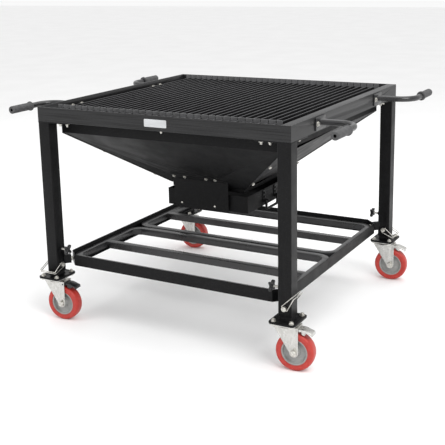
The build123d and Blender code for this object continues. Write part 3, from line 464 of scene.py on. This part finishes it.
def islands(node):
    """Vertex positions of each separate solid in a node."""
    bm = bmesh.new()
    bm.from_mesh(frame["nodes"][node].data)
    bmesh.ops.remove_doubles(bm, verts=bm.verts, dist=SAME_PLACE)
    bm.verts.ensure_lookup_table()
    seen, groups = set(), []
    for vert in bm.verts:
        if vert.index in seen:
            continue
        seen.add(vert.index)
        queue, group = [vert], []
        while queue:
            here = queue.pop()
            group.append(here.co.copy())
            for edge in here.link_edges:
                other = edge.other_vert(here)
                if other.index not in seen:
                    seen.add(other.index)
                    queue.append(other)
        groups.append(np.array(group))
    bm.free()
    return groups


# ---- node trees that make shapes ---------------------------------------------
def new_tree(name, sockets):
    """A shape tree with a mesh in, a mesh out, and named inputs."""
    tree = bpy.data.node_groups.new(name, "GeometryNodeTree")
    ends = tree.interface
    ends.new_socket("Geometry", in_out="INPUT", socket_type="NodeSocketGeometry")
    ends.new_socket("Geometry", in_out="OUTPUT", socket_type="NodeSocketGeometry")
    for label, kind in sockets.items():
        ends.new_socket(label, in_out="INPUT", socket_type=f"NodeSocket{kind}")
    return tree, add(tree, "NodeGroupInput").outputs


def close_tree(tree, shape, material):
    """Realize, set the material, and lead to the output."""
    real = add(tree, "GeometryNodeRealizeInstances", {"Geometry": shape})
    coated = add(tree, "GeometryNodeSetMaterial", {"Geometry": real.outputs[0],
                                                   "Material": material})
    add(tree, "NodeGroupOutput", {0: coated.outputs[0]})
    return tree


def weld_tree():
    """Weld bead along a path: a bar that swells and narrows with each ripple."""
    tree, given = new_tree("Weld bead", {"Bead Radius": "Float", "Ripple": "Float",
                                         "Seed": "Int", "Material": "Material"})
    path = add(tree, "GeometryNodeMeshToCurve", {"Mesh": given["Geometry"]})
    fine = add(tree, "GeometryNodeResampleCurve", {"Curve": path.outputs[0],
                                                   "Length": given["Ripple"]}, mode="LENGTH")
    swell = add(tree, "FunctionNodeRandomValue", {2: 0.75, 3: 1.25, "Seed": given["Seed"]},
                data_type="FLOAT")
    rippled = add(tree, "GeometryNodeSetCurveRadius", {"Curve": fine.outputs[0],
                                                       "Radius": swell.outputs[1]})
    ring = add(tree, "GeometryNodeCurvePrimitiveCircle", {"Resolution": 8,
                                                          "Radius": given["Bead Radius"]})
    swollen = add(tree, "GeometryNodeInputRadius").outputs[0]
    bead = add(tree, "GeometryNodeCurveToMesh", {"Curve": rippled.outputs[0],
                                                 "Profile Curve": ring.outputs[0],
                                                 "Scale": swollen, "Fill Caps": True})
    return close_tree(tree, bead.outputs[0], given["Material"])


def repeat_tree():
    """Copies of one pattern at points, each turned to face its own way and sized to fit."""
    tree, given = new_tree("Repeat at points", {"Pattern": "Object", "Material": "Material"})
    pattern = add(tree, "GeometryNodeObjectInfo", {"Object": given["Pattern"]})
    facing = add(tree, "GeometryNodeInputNamedAttribute", {"Name": "facing"},
                 data_type="FLOAT_VECTOR")
    size = add(tree, "GeometryNodeInputNamedAttribute", {"Name": "size"},
               data_type="FLOAT_VECTOR")
    turn = add(tree, "FunctionNodeAlignRotationToVector", {"Vector": facing.outputs[0]}, axis="Z")
    copies = add(tree, "GeometryNodeInstanceOnPoints", {"Points": given["Geometry"],
                                                        "Instance": pattern.outputs["Geometry"],
                                                        "Rotation": turn.outputs[0],
                                                        "Scale": size.outputs[0]})
    return close_tree(tree, copies.outputs[0], given["Material"])


def slat_row_tree():
    """A row of slats at one pitch, each leaning very slightly in its slots."""
    tree, given = new_tree("Slat row", {"Pattern": "Object", "Count": "Int", "Pitch": "Float",
                                        "Start": "Vector", "Lean": "Float", "Seed": "Int",
                                        "Material": "Material"})
    step = add(tree, "ShaderNodeCombineXYZ", {0: given["Pitch"]})
    line = add(tree, "GeometryNodeMeshLine", {"Count": given["Count"], "Offset": step.outputs[0],
                                              "Start Location": given["Start"]}, mode="OFFSET")
    pattern = add(tree, "GeometryNodeObjectInfo", {"Object": given["Pattern"]})
    least = add(tree, "ShaderNodeMath", {0: given["Lean"], 1: -1.0}, operation="MULTIPLY")
    lean = add(tree, "FunctionNodeRandomValue", {2: least.outputs[0], 3: given["Lean"],
                                                 "Seed": given["Seed"]}, data_type="FLOAT")
    turn = add(tree, "ShaderNodeCombineXYZ", {1: lean.outputs[1]})
    row = add(tree, "GeometryNodeInstanceOnPoints", {"Points": line.outputs[0],
                                                     "Instance": pattern.outputs["Geometry"],
                                                     "Rotation": turn.outputs[0]})
    return close_tree(tree, row.outputs[0], given["Material"])


TREES = {}


def tree_named(name):
    """The shape tree of that name, made once."""
    recipes = {"weld": weld_tree, "repeat": repeat_tree, "slats": slat_row_tree}
    if name not in TREES:
        TREES[name] = recipes[name]()
    return TREES[name]


def run_tree(piece, tree, values):
    """Run a shape tree on a piece and keep the result as its mesh."""
    shape = piece.modifiers.new("Shape", "NODES")
    shape.node_group = tree
    for item in tree.interface.items_tree:
        if item.item_type == "SOCKET" and item.in_out == "INPUT" and item.name in values:
            shape[item.identifier] = values[item.name]
    return baked(piece)


def path_object(name, points, closed=False):
    """Edges through the points, for a tree to follow."""
    mesh = bpy.data.meshes.new(name)
    edges = [(i, i + 1) for i in range(len(points) - 1)]
    if closed:
        edges.append((len(points) - 1, 0))
    mesh.from_pydata([tuple(p) for p in points], edges, [])
    return new_object(name, mesh)


def weld_bead(name, points, radius, seed, closed=False):
    """A rippled bead along the points."""
    values = {"Bead Radius": radius, "Ripple": 1.6 * MM, "Seed": seed,
              "Material": finish_named("coat")}
    return run_tree(path_object(name, points, closed), tree_named("weld"), values)


def repeated(name, pattern, spots, finish):
    """Copies of pattern at (place, facing, size) spots."""
    mesh = bpy.data.meshes.new(name)
    mesh.from_pydata([tuple(spot[0]) for spot in spots], [], [])
    for label, part in (("facing", 1), ("size", 2)):
        data = mesh.attributes.new(label, "FLOAT_VECTOR", "POINT")
        data.data.foreach_set("vector", [c for spot in spots for c in spot[part]])
    made = new_object(name, mesh)
    run_tree(made, tree_named("repeat"), {"Pattern": pattern, "Material": finish_named(finish)})
    return made


# ---- fasteners ----------------------------------------------------------------
def hex_pattern(name, thick, stub):
    """Washer, chamfered hexagon and domed stub, one unit across the hexagon's corners."""
    bm = bmesh.new()

    def stack(sides, profile):
        """Closed solid through rings of (radius, height)."""
        turns = [radians(360 / sides * i) for i in range(sides)]
        rings = [[bm.verts.new((r * cos(a), r * sin(a), h)) for a in turns] for r, h in profile]
        bm.faces.new(list(reversed(rings[0])))
        for low, high in zip(rings, rings[1:]):
            for i in range(sides):
                k = (i + 1) % sides
                bm.faces.new((low[i], low[k], high[k], high[i]))
        bm.faces.new(rings[-1])

    stack(6, ((0.5, 0.08), (0.5, thick - 0.03), (0.43, thick)))
    stack(16, ((0.56, 0.0), (0.56, 0.06), (0.53, 0.08)))
    if stub:
        stack(16, ((0.27, thick - 0.02), (0.27, thick + stub * 0.7), (0.21, thick + stub)))
    return from_bmesh(name, bm)


def shank_pattern(name):
    """Unit length of threaded bar, unit radius."""
    root, turns = 0.88, 10
    outline = [(0.0, 0.0)]
    for i in range(turns):
        outline += [(i / turns, root), ((i + 0.5) / turns, 1.0)]
    outline += [(1.0, root), (1.0, 0.0)]
    return lathe(name, outline, Vector((0, 0, 0)), (0, 0, 1), 12)


def read_bolts(node):
    """Each bolt of a node: head's seat, direction, hexagon's corner radius, length, nut's seat."""
    level, near = 0.01 * MM, 0.2 * MM
    bolts = []
    for points in islands(node):
        middle = points.mean(axis=0)
        if np.ptp(points, axis=0).max() > LONGEST_BOLT:
            continue
        values, vectors = np.linalg.eigh(np.cov((points - middle).T))
        odd = 0 if values[1] / values[0] > values[2] / values[1] else 2
        axis = vectors[:, odd]
        along = (points - middle) @ axis
        off = np.linalg.norm((points - middle) - np.outer(along, axis), axis=1)
        corner = off.max()
        if abs(off[along > along.max() - level].max() - corner) < near:
            axis, along = -axis, -along
        planes = sorted(set(np.round(along[off > corner - near], 5)))
        bolts.append({"seat": Vector(middle + axis * planes[1]), "axis": Vector(axis),
                      "corner": float(corner), "length": float(along.max() - planes[1]),
                      "nut": Vector(middle + axis * planes[2]) if len(planes) > 2 else None})
    return bolts


def bolt_set(name, bolts, stub, finish="zinc"):
    """Heads, nuts and shanks for a list of bolts, as one piece."""
    head = hex_pattern(f"{name}_head_pattern", HEAD_THICK, 0.0)
    nut = hex_pattern(f"{name}_nut_pattern", NUT_THICK, stub)
    shank = shank_pattern(f"{name}_shank_pattern")
    heads = [(b["seat"], -b["axis"], [b["corner"] * 2] * 3) for b in bolts]
    nuts = [(b["nut"], b["axis"], [b["corner"] * 2] * 3) for b in bolts if b["nut"]]
    shanks = [(b["seat"], b["axis"], [b["corner"] * 2 * SHANK_RADIUS] * 2 + [b["length"] * 0.98])
              for b in bolts]
    made = [repeated(f"{name}_heads", head, heads, finish),
            repeated(f"{name}_shanks", shank, shanks, finish)]
    if nuts:
        made.append(repeated(f"{name}_nuts", nut, nuts, finish))
    for pattern in (head, nut, shank):
        bpy.data.objects.remove(pattern)
    return merged(name, made)


# ---- places read from the frame ------------------------------------------------
def middle_of(node):
    low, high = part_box(node)
    return (low + high) / 2


def joint_axis(name):
    entries = frame["record"]["behaviour"]["joints"]
    return Vector(next(entry["axis"] for entry in entries if entry["name"] == name))


def corner_name(corner):
    return {"f": "front", "b": "back"}[corner[0]] + "_" + {"l": "left", "r": "right"}[corner[1]]


def corner_signs(corner):
    return (-1 if corner[1] == "l" else 1), (-1 if corner[0] == "f" else 1)


def leg_centre(corner):
    """Middle of a leg in plan."""
    low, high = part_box(f"castor_mount_{corner}")
    return Vector(((low.x + high.x) / 2, (low.y + high.y) / 2, 0))


# ---- the panel's settings -------------------------------------------------------
class CUTTING_TABLE_PG_shape(bpy.types.PropertyGroup):
    """Small shapes that finish the steelwork."""
    edge: bpy.props.FloatProperty(name="Edge rounding", description="Radius left on cut edges",
                                  default=0.8 * MM, unit="LENGTH")
    bead: bpy.props.FloatProperty(name="Weld bead", description="Radius of a weld bead",
                                  default=2.0 * MM, unit="LENGTH")
    lean: bpy.props.FloatProperty(name="Slat lean", description="Most that a slat leans",
                                  default=radians(0.3), subtype="ANGLE")


class CUTTING_TABLE_PG_colour(bpy.types.PropertyGroup):
    """Colours of the tubes' coat and of the treads, each with the tone of its clouds."""
    coat: bpy.props.FloatVectorProperty(name="Coat", description="Powder coat on the tubes",
                                        size=4, subtype="COLOR", min=0.0, max=1.0,
                                        default=linear("#0a0a0b"))
    coat_cloud: bpy.props.FloatVectorProperty(name="Coat's clouds", size=4, subtype="COLOR",
                                              description="Lighter tone of the powder coat",
                                              min=0.0, max=1.0, default=linear("#101011"))
    tread: bpy.props.FloatVectorProperty(name="Tread", description="Cast tread of the wheels",
                                         size=4, subtype="COLOR", min=0.0, max=1.0,
                                         default=linear("#a5281f"))
    tread_cloud: bpy.props.FloatVectorProperty(name="Tread's clouds", size=4, subtype="COLOR",
                                               description="Lighter tone of the tread",
                                               min=0.0, max=1.0, default=linear("#b03228"))


class CUTTING_TABLE_PG_studio(bpy.types.PropertyGroup):
    """Camera and light."""
    eye: bpy.props.FloatVectorProperty(name="Camera place", description="Where the camera stands",
                                       default=(1.5316, -2.7667, 1.2335), subtype="TRANSLATION")
    yaw: bpy.props.FloatProperty(name="Camera yaw", description="Turn to the left of +Y",
                                 default=0.5272, subtype="ANGLE")
    pitch: bpy.props.FloatProperty(name="Camera pitch", description="Tilt below level",
                                   default=0.2261, subtype="ANGLE")
    roll: bpy.props.FloatProperty(name="Camera roll", description="Turn about the view",
                                  default=-0.0237, subtype="ANGLE")
    lens: bpy.props.FloatProperty(name="Lens", description="Focal length in mm", default=71.5)
    sky: bpy.props.FloatProperty(name="Sky", description="Strength of the room's even light",
                                 default=0.95, min=0.0)
    key: bpy.props.FloatProperty(name="Key light", description="Power of the main soft light",
                                 default=80.0, min=0.0, unit="POWER")


def shape_settings():
    return bpy.context.scene.cutting_table_shape


def colour_settings():
    return bpy.context.scene.cutting_table_colour


def studio_settings():
    return bpy.context.scene.cutting_table_studio


# ---- operators ------------------------------------------------------------------
class CUTTING_TABLE_OT_rails(bpy.types.Operator):
    """Dress the four rails of angle steel, the inner ledge and the two combs"""
    bl_idname = "cutting_table.rails"
    bl_label = "Rails and combs"

    def execute(self, context):
        edge = shape_settings().edge
        for side in SIDES:
            dressed(f"{side}_rail", f"rail_{side}", "rail_highlight_streaks", edge)
        dressed("right_ledge", "ledge_angle", "rail_highlight_streaks", edge * 0.8)
        dressed("combs", "slat_combs", "comb_lit_coat", edge * 0.4)
        return {"FINISHED"}


class CUTTING_TABLE_OT_slats(bpy.types.Operator):
    """Lay the row of slats in the combs"""
    bl_idname = "cutting_table.slats"
    bl_label = "Slats"

    def execute(self, context):
        low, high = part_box("slats")
        slats = islands("slats")
        count, thick = len(slats), float(np.ptp(slats[0][:, 0]))
        bm = bmesh.new()
        bmesh.ops.create_cube(bm, size=1.0)
        scale = Vector((thick, high.y - low.y, high.z - low.z))
        bmesh.ops.scale(bm, vec=scale, verts=bm.verts)
        bmesh.ops.translate(bm, vec=(0, (low.y + high.y) / 2, scale.z / 2), verts=bm.verts)
        pattern = soften(from_bmesh("slat_pattern", bm), 0.3 * MM)
        row = path_object("slat_row", [(0, 0, 0)])
        run_tree(row, tree_named("slats"), {
            "Pattern": pattern, "Count": count,
            "Pitch": (high.x - low.x - thick) / (count - 1),
            "Start": (low.x + thick / 2, 0.0, low.z), "Lean": shape_settings().lean,
            "Seed": 7, "Material": finish_named("slat")})
        bpy.data.objects.remove(pattern)
        finish_piece(row, "slat_bed", None, ("slats",))
        return {"FINISHED"}


class CUTTING_TABLE_OT_hopper(bpy.types.Operator):
    """Dress the funnel of folded sheet with its hangers and runners"""
    bl_idname = "cutting_table.hopper"
    bl_label = "Hopper"

    def execute(self, context):
        edge = shape_settings().edge
        for side in SIDES:
            dressed(f"hopper_{side}", f"hopper_panel_{side}", "sheet_coat", edge * 0.6, True)
        dressed("drawer_hangers", "hanger_plates", "sheet_coat", edge * 0.6)
        dressed("drawer_runners", "runner_angles", "sheet_coat", edge * 0.6)
        return {"FINISHED"}


class CUTTING_TABLE_OT_drawer(bpy.types.Operator):
    """Dress the drawer with its clips and its swinging pull"""
    bl_idname = "cutting_table.drawer"
    bl_label = "Drawer"

    def execute(self, context):
        edge = shape_settings().edge
        dressed("drawer_box", "drawer_tray", "sheet_coat", edge * 0.5)
        dressed("pull_clips", "drawer_clips", "coat", edge * 0.4)
        dressed("drawer_pull", "drawer_handle", "coat", edge * 0.4)
        return {"FINISHED"}


class CUTTING_TABLE_OT_legs(bpy.types.Operator):
    """Dress the four telescoping legs"""
    bl_idname = "cutting_table.legs"
    bl_label = "Legs"

    def execute(self, context):
        edge = shape_settings().edge
        dressed("outer_legs", "leg_tubes", "coat", edge * 1.5, True)
        for corner in CORNERS:
            dressed(f"inner_leg_{corner}", f"leg_inner_{corner}", "coat", edge * 1.3)
        return {"FINISHED"}


class CUTTING_TABLE_OT_welds(bpy.types.Operator):
    """Run weld beads where tubes meet plates"""
    bl_idname = "cutting_table.welds"
    bl_label = "Weld beads"

    def execute(self, context):
        bead = shape_settings().bead
        high_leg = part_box("outer_legs")[1]
        top = high_leg.z - 4 * MM
        sleeve = 19.5 * MM
        beads = []
        for seed, corner in enumerate(CORNERS):
            sx, sy = corner_signs(corner)
            x, y = leg_centre(corner)[:2]
            half = abs(high_leg.x) - abs(x)
            inner = [(x - sx * half, y + sy * half * 0.95, top),
                     (x - sx * half, y - sy * half, top),
                     (x + sx * half * 0.95, y - sy * half, top)]
            beads.append(weld_bead(f"head_bead_{corner}", inner, bead, seed + 1))
            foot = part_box(f"inner_leg_{corner}")[0].z
            ring = [(x + a * sleeve, y + b * sleeve, foot + 6 * MM) for a, b in SQUARE]
            piece = weld_bead(f"foot_bead_{corner}", ring, bead, seed + 11, True)
            finish_piece(piece, f"leg_{corner}", None, angle=60)
        frame_beads = merged("frame_beads", beads)
        frame_beads.data.materials.append(finish_named("coat"))
        finish_piece(frame_beads, "table", None, angle=60)
        return {"FINISHED"}


class CUTTING_TABLE_OT_locks(bpy.types.Operator):
    """Fit the lock pins, their wire bails and the clamp knobs"""
    bl_idname = "cutting_table.locks"
    bl_label = "Pins and knobs"

    def execute(self, context):
        dressed("lock_pins", "leg_pins", "zinc", 0.25 * MM, True)
        for corner in CORNERS:
            dressed(f"pin_bail_{corner}", f"bail_wire_{corner}", "wire", 0.1 * MM)
            self.knob(corner)
        return {"FINISHED"}

    def knob(self, corner):
        """Four-lobed moulded knob on a threaded stud."""
        node = f"clamp_knob_{corner}"
        sx = corner_signs(corner)[0]
        low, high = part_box(node)
        middle = (low + high) / 2
        front = low.x if sx > 0 else high.x
        tip = high.x if sx > 0 else low.x
        lobes = []
        for i in range(LOBE_POINTS):
            turn = 2 * pi * i / LOBE_POINTS
            reach = (LOBE_MIDDLE - LOBE_SWING * cos(4 * turn)) * MM
            lobes.append((reach * cos(turn), reach * sin(turn)))
        back = Vector((front + sx * LOBE_BACK, middle.y, middle.z))
        body = plate(f"knob_{corner}", lobes, back, (0, sx, 0), (0, 0, -1), LOBE_THICK)
        body = soften(body, 2.6 * MM, 4, 50)
        hub = lathe(f"knob_hub_{corner}", in_metres(KNOB_HUB),
                    Vector((front, middle.y, middle.z)), (sx, 0, 0), 32)
        finish_piece(merged(f"clamp_knob_body_{corner}", [body, hub]), f"knob_{corner}",
                     "knob", (node,), 40)
        stud = shank_pattern("stud_pattern")
        length = abs(tip - front) - STUD_START
        spot = (Vector((front + sx * STUD_START, middle.y, middle.z)), (sx, 0, 0),
                (STUD_RADIUS, STUD_RADIUS, length))
        made = repeated(f"clamp_stud_{corner}", stud, [spot], "zinc")
        bpy.data.objects.remove(stud)
        finish_piece(made, f"knob_{corner}", None, angle=30)


class CUTTING_TABLE_OT_shelf(bpy.types.Operator):
    """Dress the lower rails and the two bar loops"""
    bl_idname = "cutting_table.shelf"
    bl_label = "Lower shelf"

    def execute(self, context):
        edge = shape_settings().edge
        dressed("shelf_rails", "lower_rails", "coat", edge)
        dressed("shelf_loops", "lower_loops", "loop_coat", edge * 1.6)
        return {"FINISHED"}


class CUTTING_TABLE_OT_handles(bpy.types.Operator):
    """Dress the carrying handles and mould their grips"""
    bl_idname = "cutting_table.handles"
    bl_label = "Handles"

    def execute(self, context):
        dressed("carry_handles", "handle_tubes", "loop_coat", 0.6 * MM)
        pieces = []
        for i, points in enumerate(islands("handle_grips")):
            low, high = Vector(points.min(axis=0)), Vector(points.max(axis=0))
            way = 1 if (low.y + high.y) > 0 else -1
            start = low.y if way > 0 else high.y
            centre = Vector(((low.x + high.x) / 2, start, (low.z + high.z) / 2))
            pieces.append(self.grip(i, centre, way, high.y - low.y))
        finish_piece(merged("grip_sleeves", pieces), "table", "grip",
                     ("handle_grips",), 40)
        return {"FINISHED"}

    def grip(self, i, centre, way, length):
        """Sleeve with a flange at its inner end and shallow rings along it."""
        end, pitch = length / MM, 8.0
        outline = list(GRIP_FLANGE)
        along = pitch
        while along < end - 8:
            outline += [(along + a, r) for a, r in GRIP_RIB]
            along += pitch
        outline += [(end + a, r) for a, r in GRIP_END]
        return lathe(f"grip_{i}", in_metres(outline), centre, (0, way, 0), 40)


class CUTTING_TABLE_OT_castors(bpy.types.Operator):
    """Fit the four castors: top plate, race, fork, brake, core and tread"""
    bl_idname = "cutting_table.castors"
    bl_label = "Castors"

    def execute(self, context):
        for corner in CORNERS:
            self.top_plate(corner)
            dressed(f"fork_{corner}", f"castor_fork_{corner}", "castor_zinc", 0.9 * MM)
            dressed(f"axle_{corner}", f"castor_axle_{corner}", "zinc", 0.8 * MM)
            # The front left brake pedal gets the black knob finish, the other three bright zinc.
            dressed(f"brake_pedal_{corner}", f"castor_brake_{corner}",
                    "knob" if corner == "fl" else "castor_zinc", 0.9 * MM)
            self.wheel(corner)
        return {"FINISHED"}

    def top_plate(self, corner):
        """Top plate, race and kingpin, with the four bolts that hold them."""
        node = f"castor_mount_{corner}"
        x, y = leg_centre(corner)[:2]
        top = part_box(f"inner_leg_{corner}")[0].z
        corners = [(a * PLATE_HALF[0], b * PLATE_HALF[1]) for a, b in SQUARE]
        slab = plate(f"slab_{corner}", rounded_outline(corners, PLATE_CORNER, 6),
                     (x, y, top - PLATE_THICK), (1, 0, 0), (0, 1, 0), PLATE_THICK)
        slab = soften(slab, 0.7 * MM)
        race = lathe(f"race_{corner}", in_metres(RACE), Vector((x, y, top)), (0, 0, 1))
        head = lathe(f"kingpin_{corner}", in_metres(KINGPIN), Vector((x, y, top)), (0, 0, 1), 32)
        finish_piece(merged(f"castor_race_{corner}", [slab, race, head]), f"leg_{corner}",
                     "castor_zinc", angle=34)
        bolts = bolt_set(f"castor_bolts_{corner}", read_bolts(node), 0.18)
        finish_piece(bolts, f"leg_{corner}", "zinc", (node,), 25)

    def wheel(self, corner):
        """Tread with round shoulders on a moulded core, and its bearings' shields."""
        axis = joint_axis(f"{corner_name(corner)}_wheel_spin")
        centre = middle_of(f"tyre_{corner}")
        tread = lathe(f"tread_{corner}", both_sides(TREAD_SIDE), centre, axis, 96)
        finish_piece(tread, f"wheel_{corner}", "tread",
                     (f"tyre_{corner}",), 40)
        core = lathe(f"core_{corner}", both_sides(CORE_SIDE), centre, axis, 80)
        finish_piece(core, f"wheel_{corner}", "core",
                     (f"wheel_core_{corner}",), 40)
        shields = [lathe(f"shield_{corner}_{way + 1}", in_metres(SHIELD), centre, axis * way, 32)
                   for way in (-1, 1)]
        finish_piece(merged(f"bearing_shields_{corner}", shields), f"wheel_{corner}",
                     "zinc", angle=40)


class CUTTING_TABLE_OT_fasteners(bpy.types.Operator):
    """Fit every bolt of the frame and the blank plate on the front rail"""
    bl_idname = "cutting_table.fasteners"
    bl_label = "Fasteners"

    def execute(self, context):
        bolts = bolt_set("frame_bolt_set", read_bolts("frame_bolts"), 0.42)
        finish_piece(bolts, "table", "zinc", ("frame_bolts",), 25)
        dressed("label_plate", "blank_plate", "label", 0.3 * MM)
        low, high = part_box("label_plate")
        rivet = lathe("rivet_pattern", RIVET, Vector((0, 0, 0)), (0, 0, 1), 16)
        radius, inset = 1.6 * MM, 3.5 * MM
        spots = [(Vector((x, low.y, z)), (0, -1, 0), (radius,) * 3)
                 for x in (low.x + inset, high.x - inset)
                 for z in (low.z + inset, high.z - inset)]
        rivets = repeated("plate_rivets", rivet, spots, "zinc")
        bpy.data.objects.remove(rivet)
        finish_piece(rivets, "table", None, angle=50)
        return {"FINISHED"}


class CUTTING_TABLE_OT_stage(bpy.types.Operator):
    """Lay the floor and set the soft lights and the camera"""
    bl_idname = "cutting_table.stage"
    bl_label = "Stage"

    def execute(self, context):
        settings = studio_settings()
        bm = bmesh.new()
        bmesh.ops.create_grid(bm, x_segments=8, y_segments=8, size=FLOOR_HALF)
        bmesh.ops.translate(bm, vec=(0, 0, -FLOOR_DROP), verts=bm.verts)
        floor = from_bmesh("studio_floor", bm)
        floor.data.materials.append(finish_named("floor"))
        self.camera(settings)
        for name, place, size, share in LIGHTS:
            self.area(name, place, size, settings.key * share)
        world = bpy.data.worlds.new("studio_air")
        world.use_nodes = True
        world.node_tree.nodes.clear()
        air = add(world.node_tree, "ShaderNodeBackground", {"Color": linear("#ffffff"),
                                                            "Strength": settings.sky})
        add(world.node_tree, "ShaderNodeOutputWorld", {"Surface": air.outputs[0]})
        context.scene.world = world
        context.scene.view_settings.view_transform = "Standard"
        return {"FINISHED"}

    def camera(self, settings):
        """Camera turned by yaw, pitch and roll, its view moved by the lens shift."""
        yaw, pitch, roll = settings.yaw, settings.pitch, settings.roll
        ahead = Vector((-sin(yaw) * cos(pitch), cos(yaw) * cos(pitch), -sin(pitch)))
        level = Vector((cos(yaw), sin(yaw), 0))
        over = level.cross(ahead)
        right = cos(roll) * level + sin(roll) * over
        up = -sin(roll) * level + cos(roll) * over
        data = bpy.data.cameras.new("camera")
        data.lens = settings.lens
        data.sensor_width = SENSOR_WIDTH
        data.shift_x, data.shift_y = LENS_SHIFT
        data.clip_end = 100.0
        made = bpy.data.objects.new("camera", data)
        turn = Matrix((right, up, -ahead)).transposed().to_4x4()
        made.matrix_world = Matrix.Translation(settings.eye) @ turn
        bpy.context.scene.collection.objects.link(made)
        bpy.context.scene.camera = made

    def area(self, name, place, size, power):
        """Square soft light that faces the table."""
        data = bpy.data.lights.new(name, "AREA")
        data.size = size
        data.energy = power
        made = bpy.data.objects.new(name, data)
        toward = Vector(LIT_POINT) - Vector(place)
        made.matrix_world = (Matrix.Translation(place)
                             @ toward.to_track_quat("-Z", "Y").to_matrix().to_4x4())
        bpy.context.scene.collection.objects.link(made)


OPERATORS = (
    CUTTING_TABLE_OT_rails, CUTTING_TABLE_OT_slats, CUTTING_TABLE_OT_hopper,
    CUTTING_TABLE_OT_drawer, CUTTING_TABLE_OT_legs, CUTTING_TABLE_OT_welds,
    CUTTING_TABLE_OT_locks, CUTTING_TABLE_OT_shelf, CUTTING_TABLE_OT_handles,
    CUTTING_TABLE_OT_castors, CUTTING_TABLE_OT_fasteners, CUTTING_TABLE_OT_stage,
)


class CUTTING_TABLE_PT_panel(bpy.types.Panel):
    """Buttons for each group of pieces, and the settings they read"""
    bl_idname = "CUTTING_TABLE_PT_panel"
    bl_label = "Cutting Table"
    bl_space_type = "VIEW_3D"
    bl_region_type = "UI"
    bl_category = "Cutting Table"

    def draw(self, context):
        for group in (shape_settings(), colour_settings(), studio_settings()):
            box = self.layout.box()
            for name in group.__annotations__:
                box.prop(group, name)
        for operator in OPERATORS:
            self.layout.operator(operator.bl_idname)


CLASSES = (CUTTING_TABLE_PG_shape, CUTTING_TABLE_PG_colour, CUTTING_TABLE_PG_studio, *OPERATORS,
           CUTTING_TABLE_PT_panel)


def register():
    for made in CLASSES:
        bpy.utils.register_class(made)
    scene = bpy.types.Scene
    scene.cutting_table_shape = bpy.props.PointerProperty(type=CUTTING_TABLE_PG_shape)
    scene.cutting_table_colour = bpy.props.PointerProperty(type=CUTTING_TABLE_PG_colour)
    scene.cutting_table_studio = bpy.props.PointerProperty(type=CUTTING_TABLE_PG_studio)


def unregister():
    del bpy.types.Scene.cutting_table_studio
    del bpy.types.Scene.cutting_table_colour
    del bpy.types.Scene.cutting_table_shape
    for made in reversed(CLASSES):
        bpy.utils.unregister_class(made)


def main():
    """Make every piece."""
    register()
    for operator in OPERATORS:
        name = operator.bl_idname.split(".")[1]
        if getattr(bpy.ops.cutting_table, name)() != {"FINISHED"}:
            raise RuntimeError(f"{operator.bl_label} was not made")


if __name__ == "__main__":
    main()
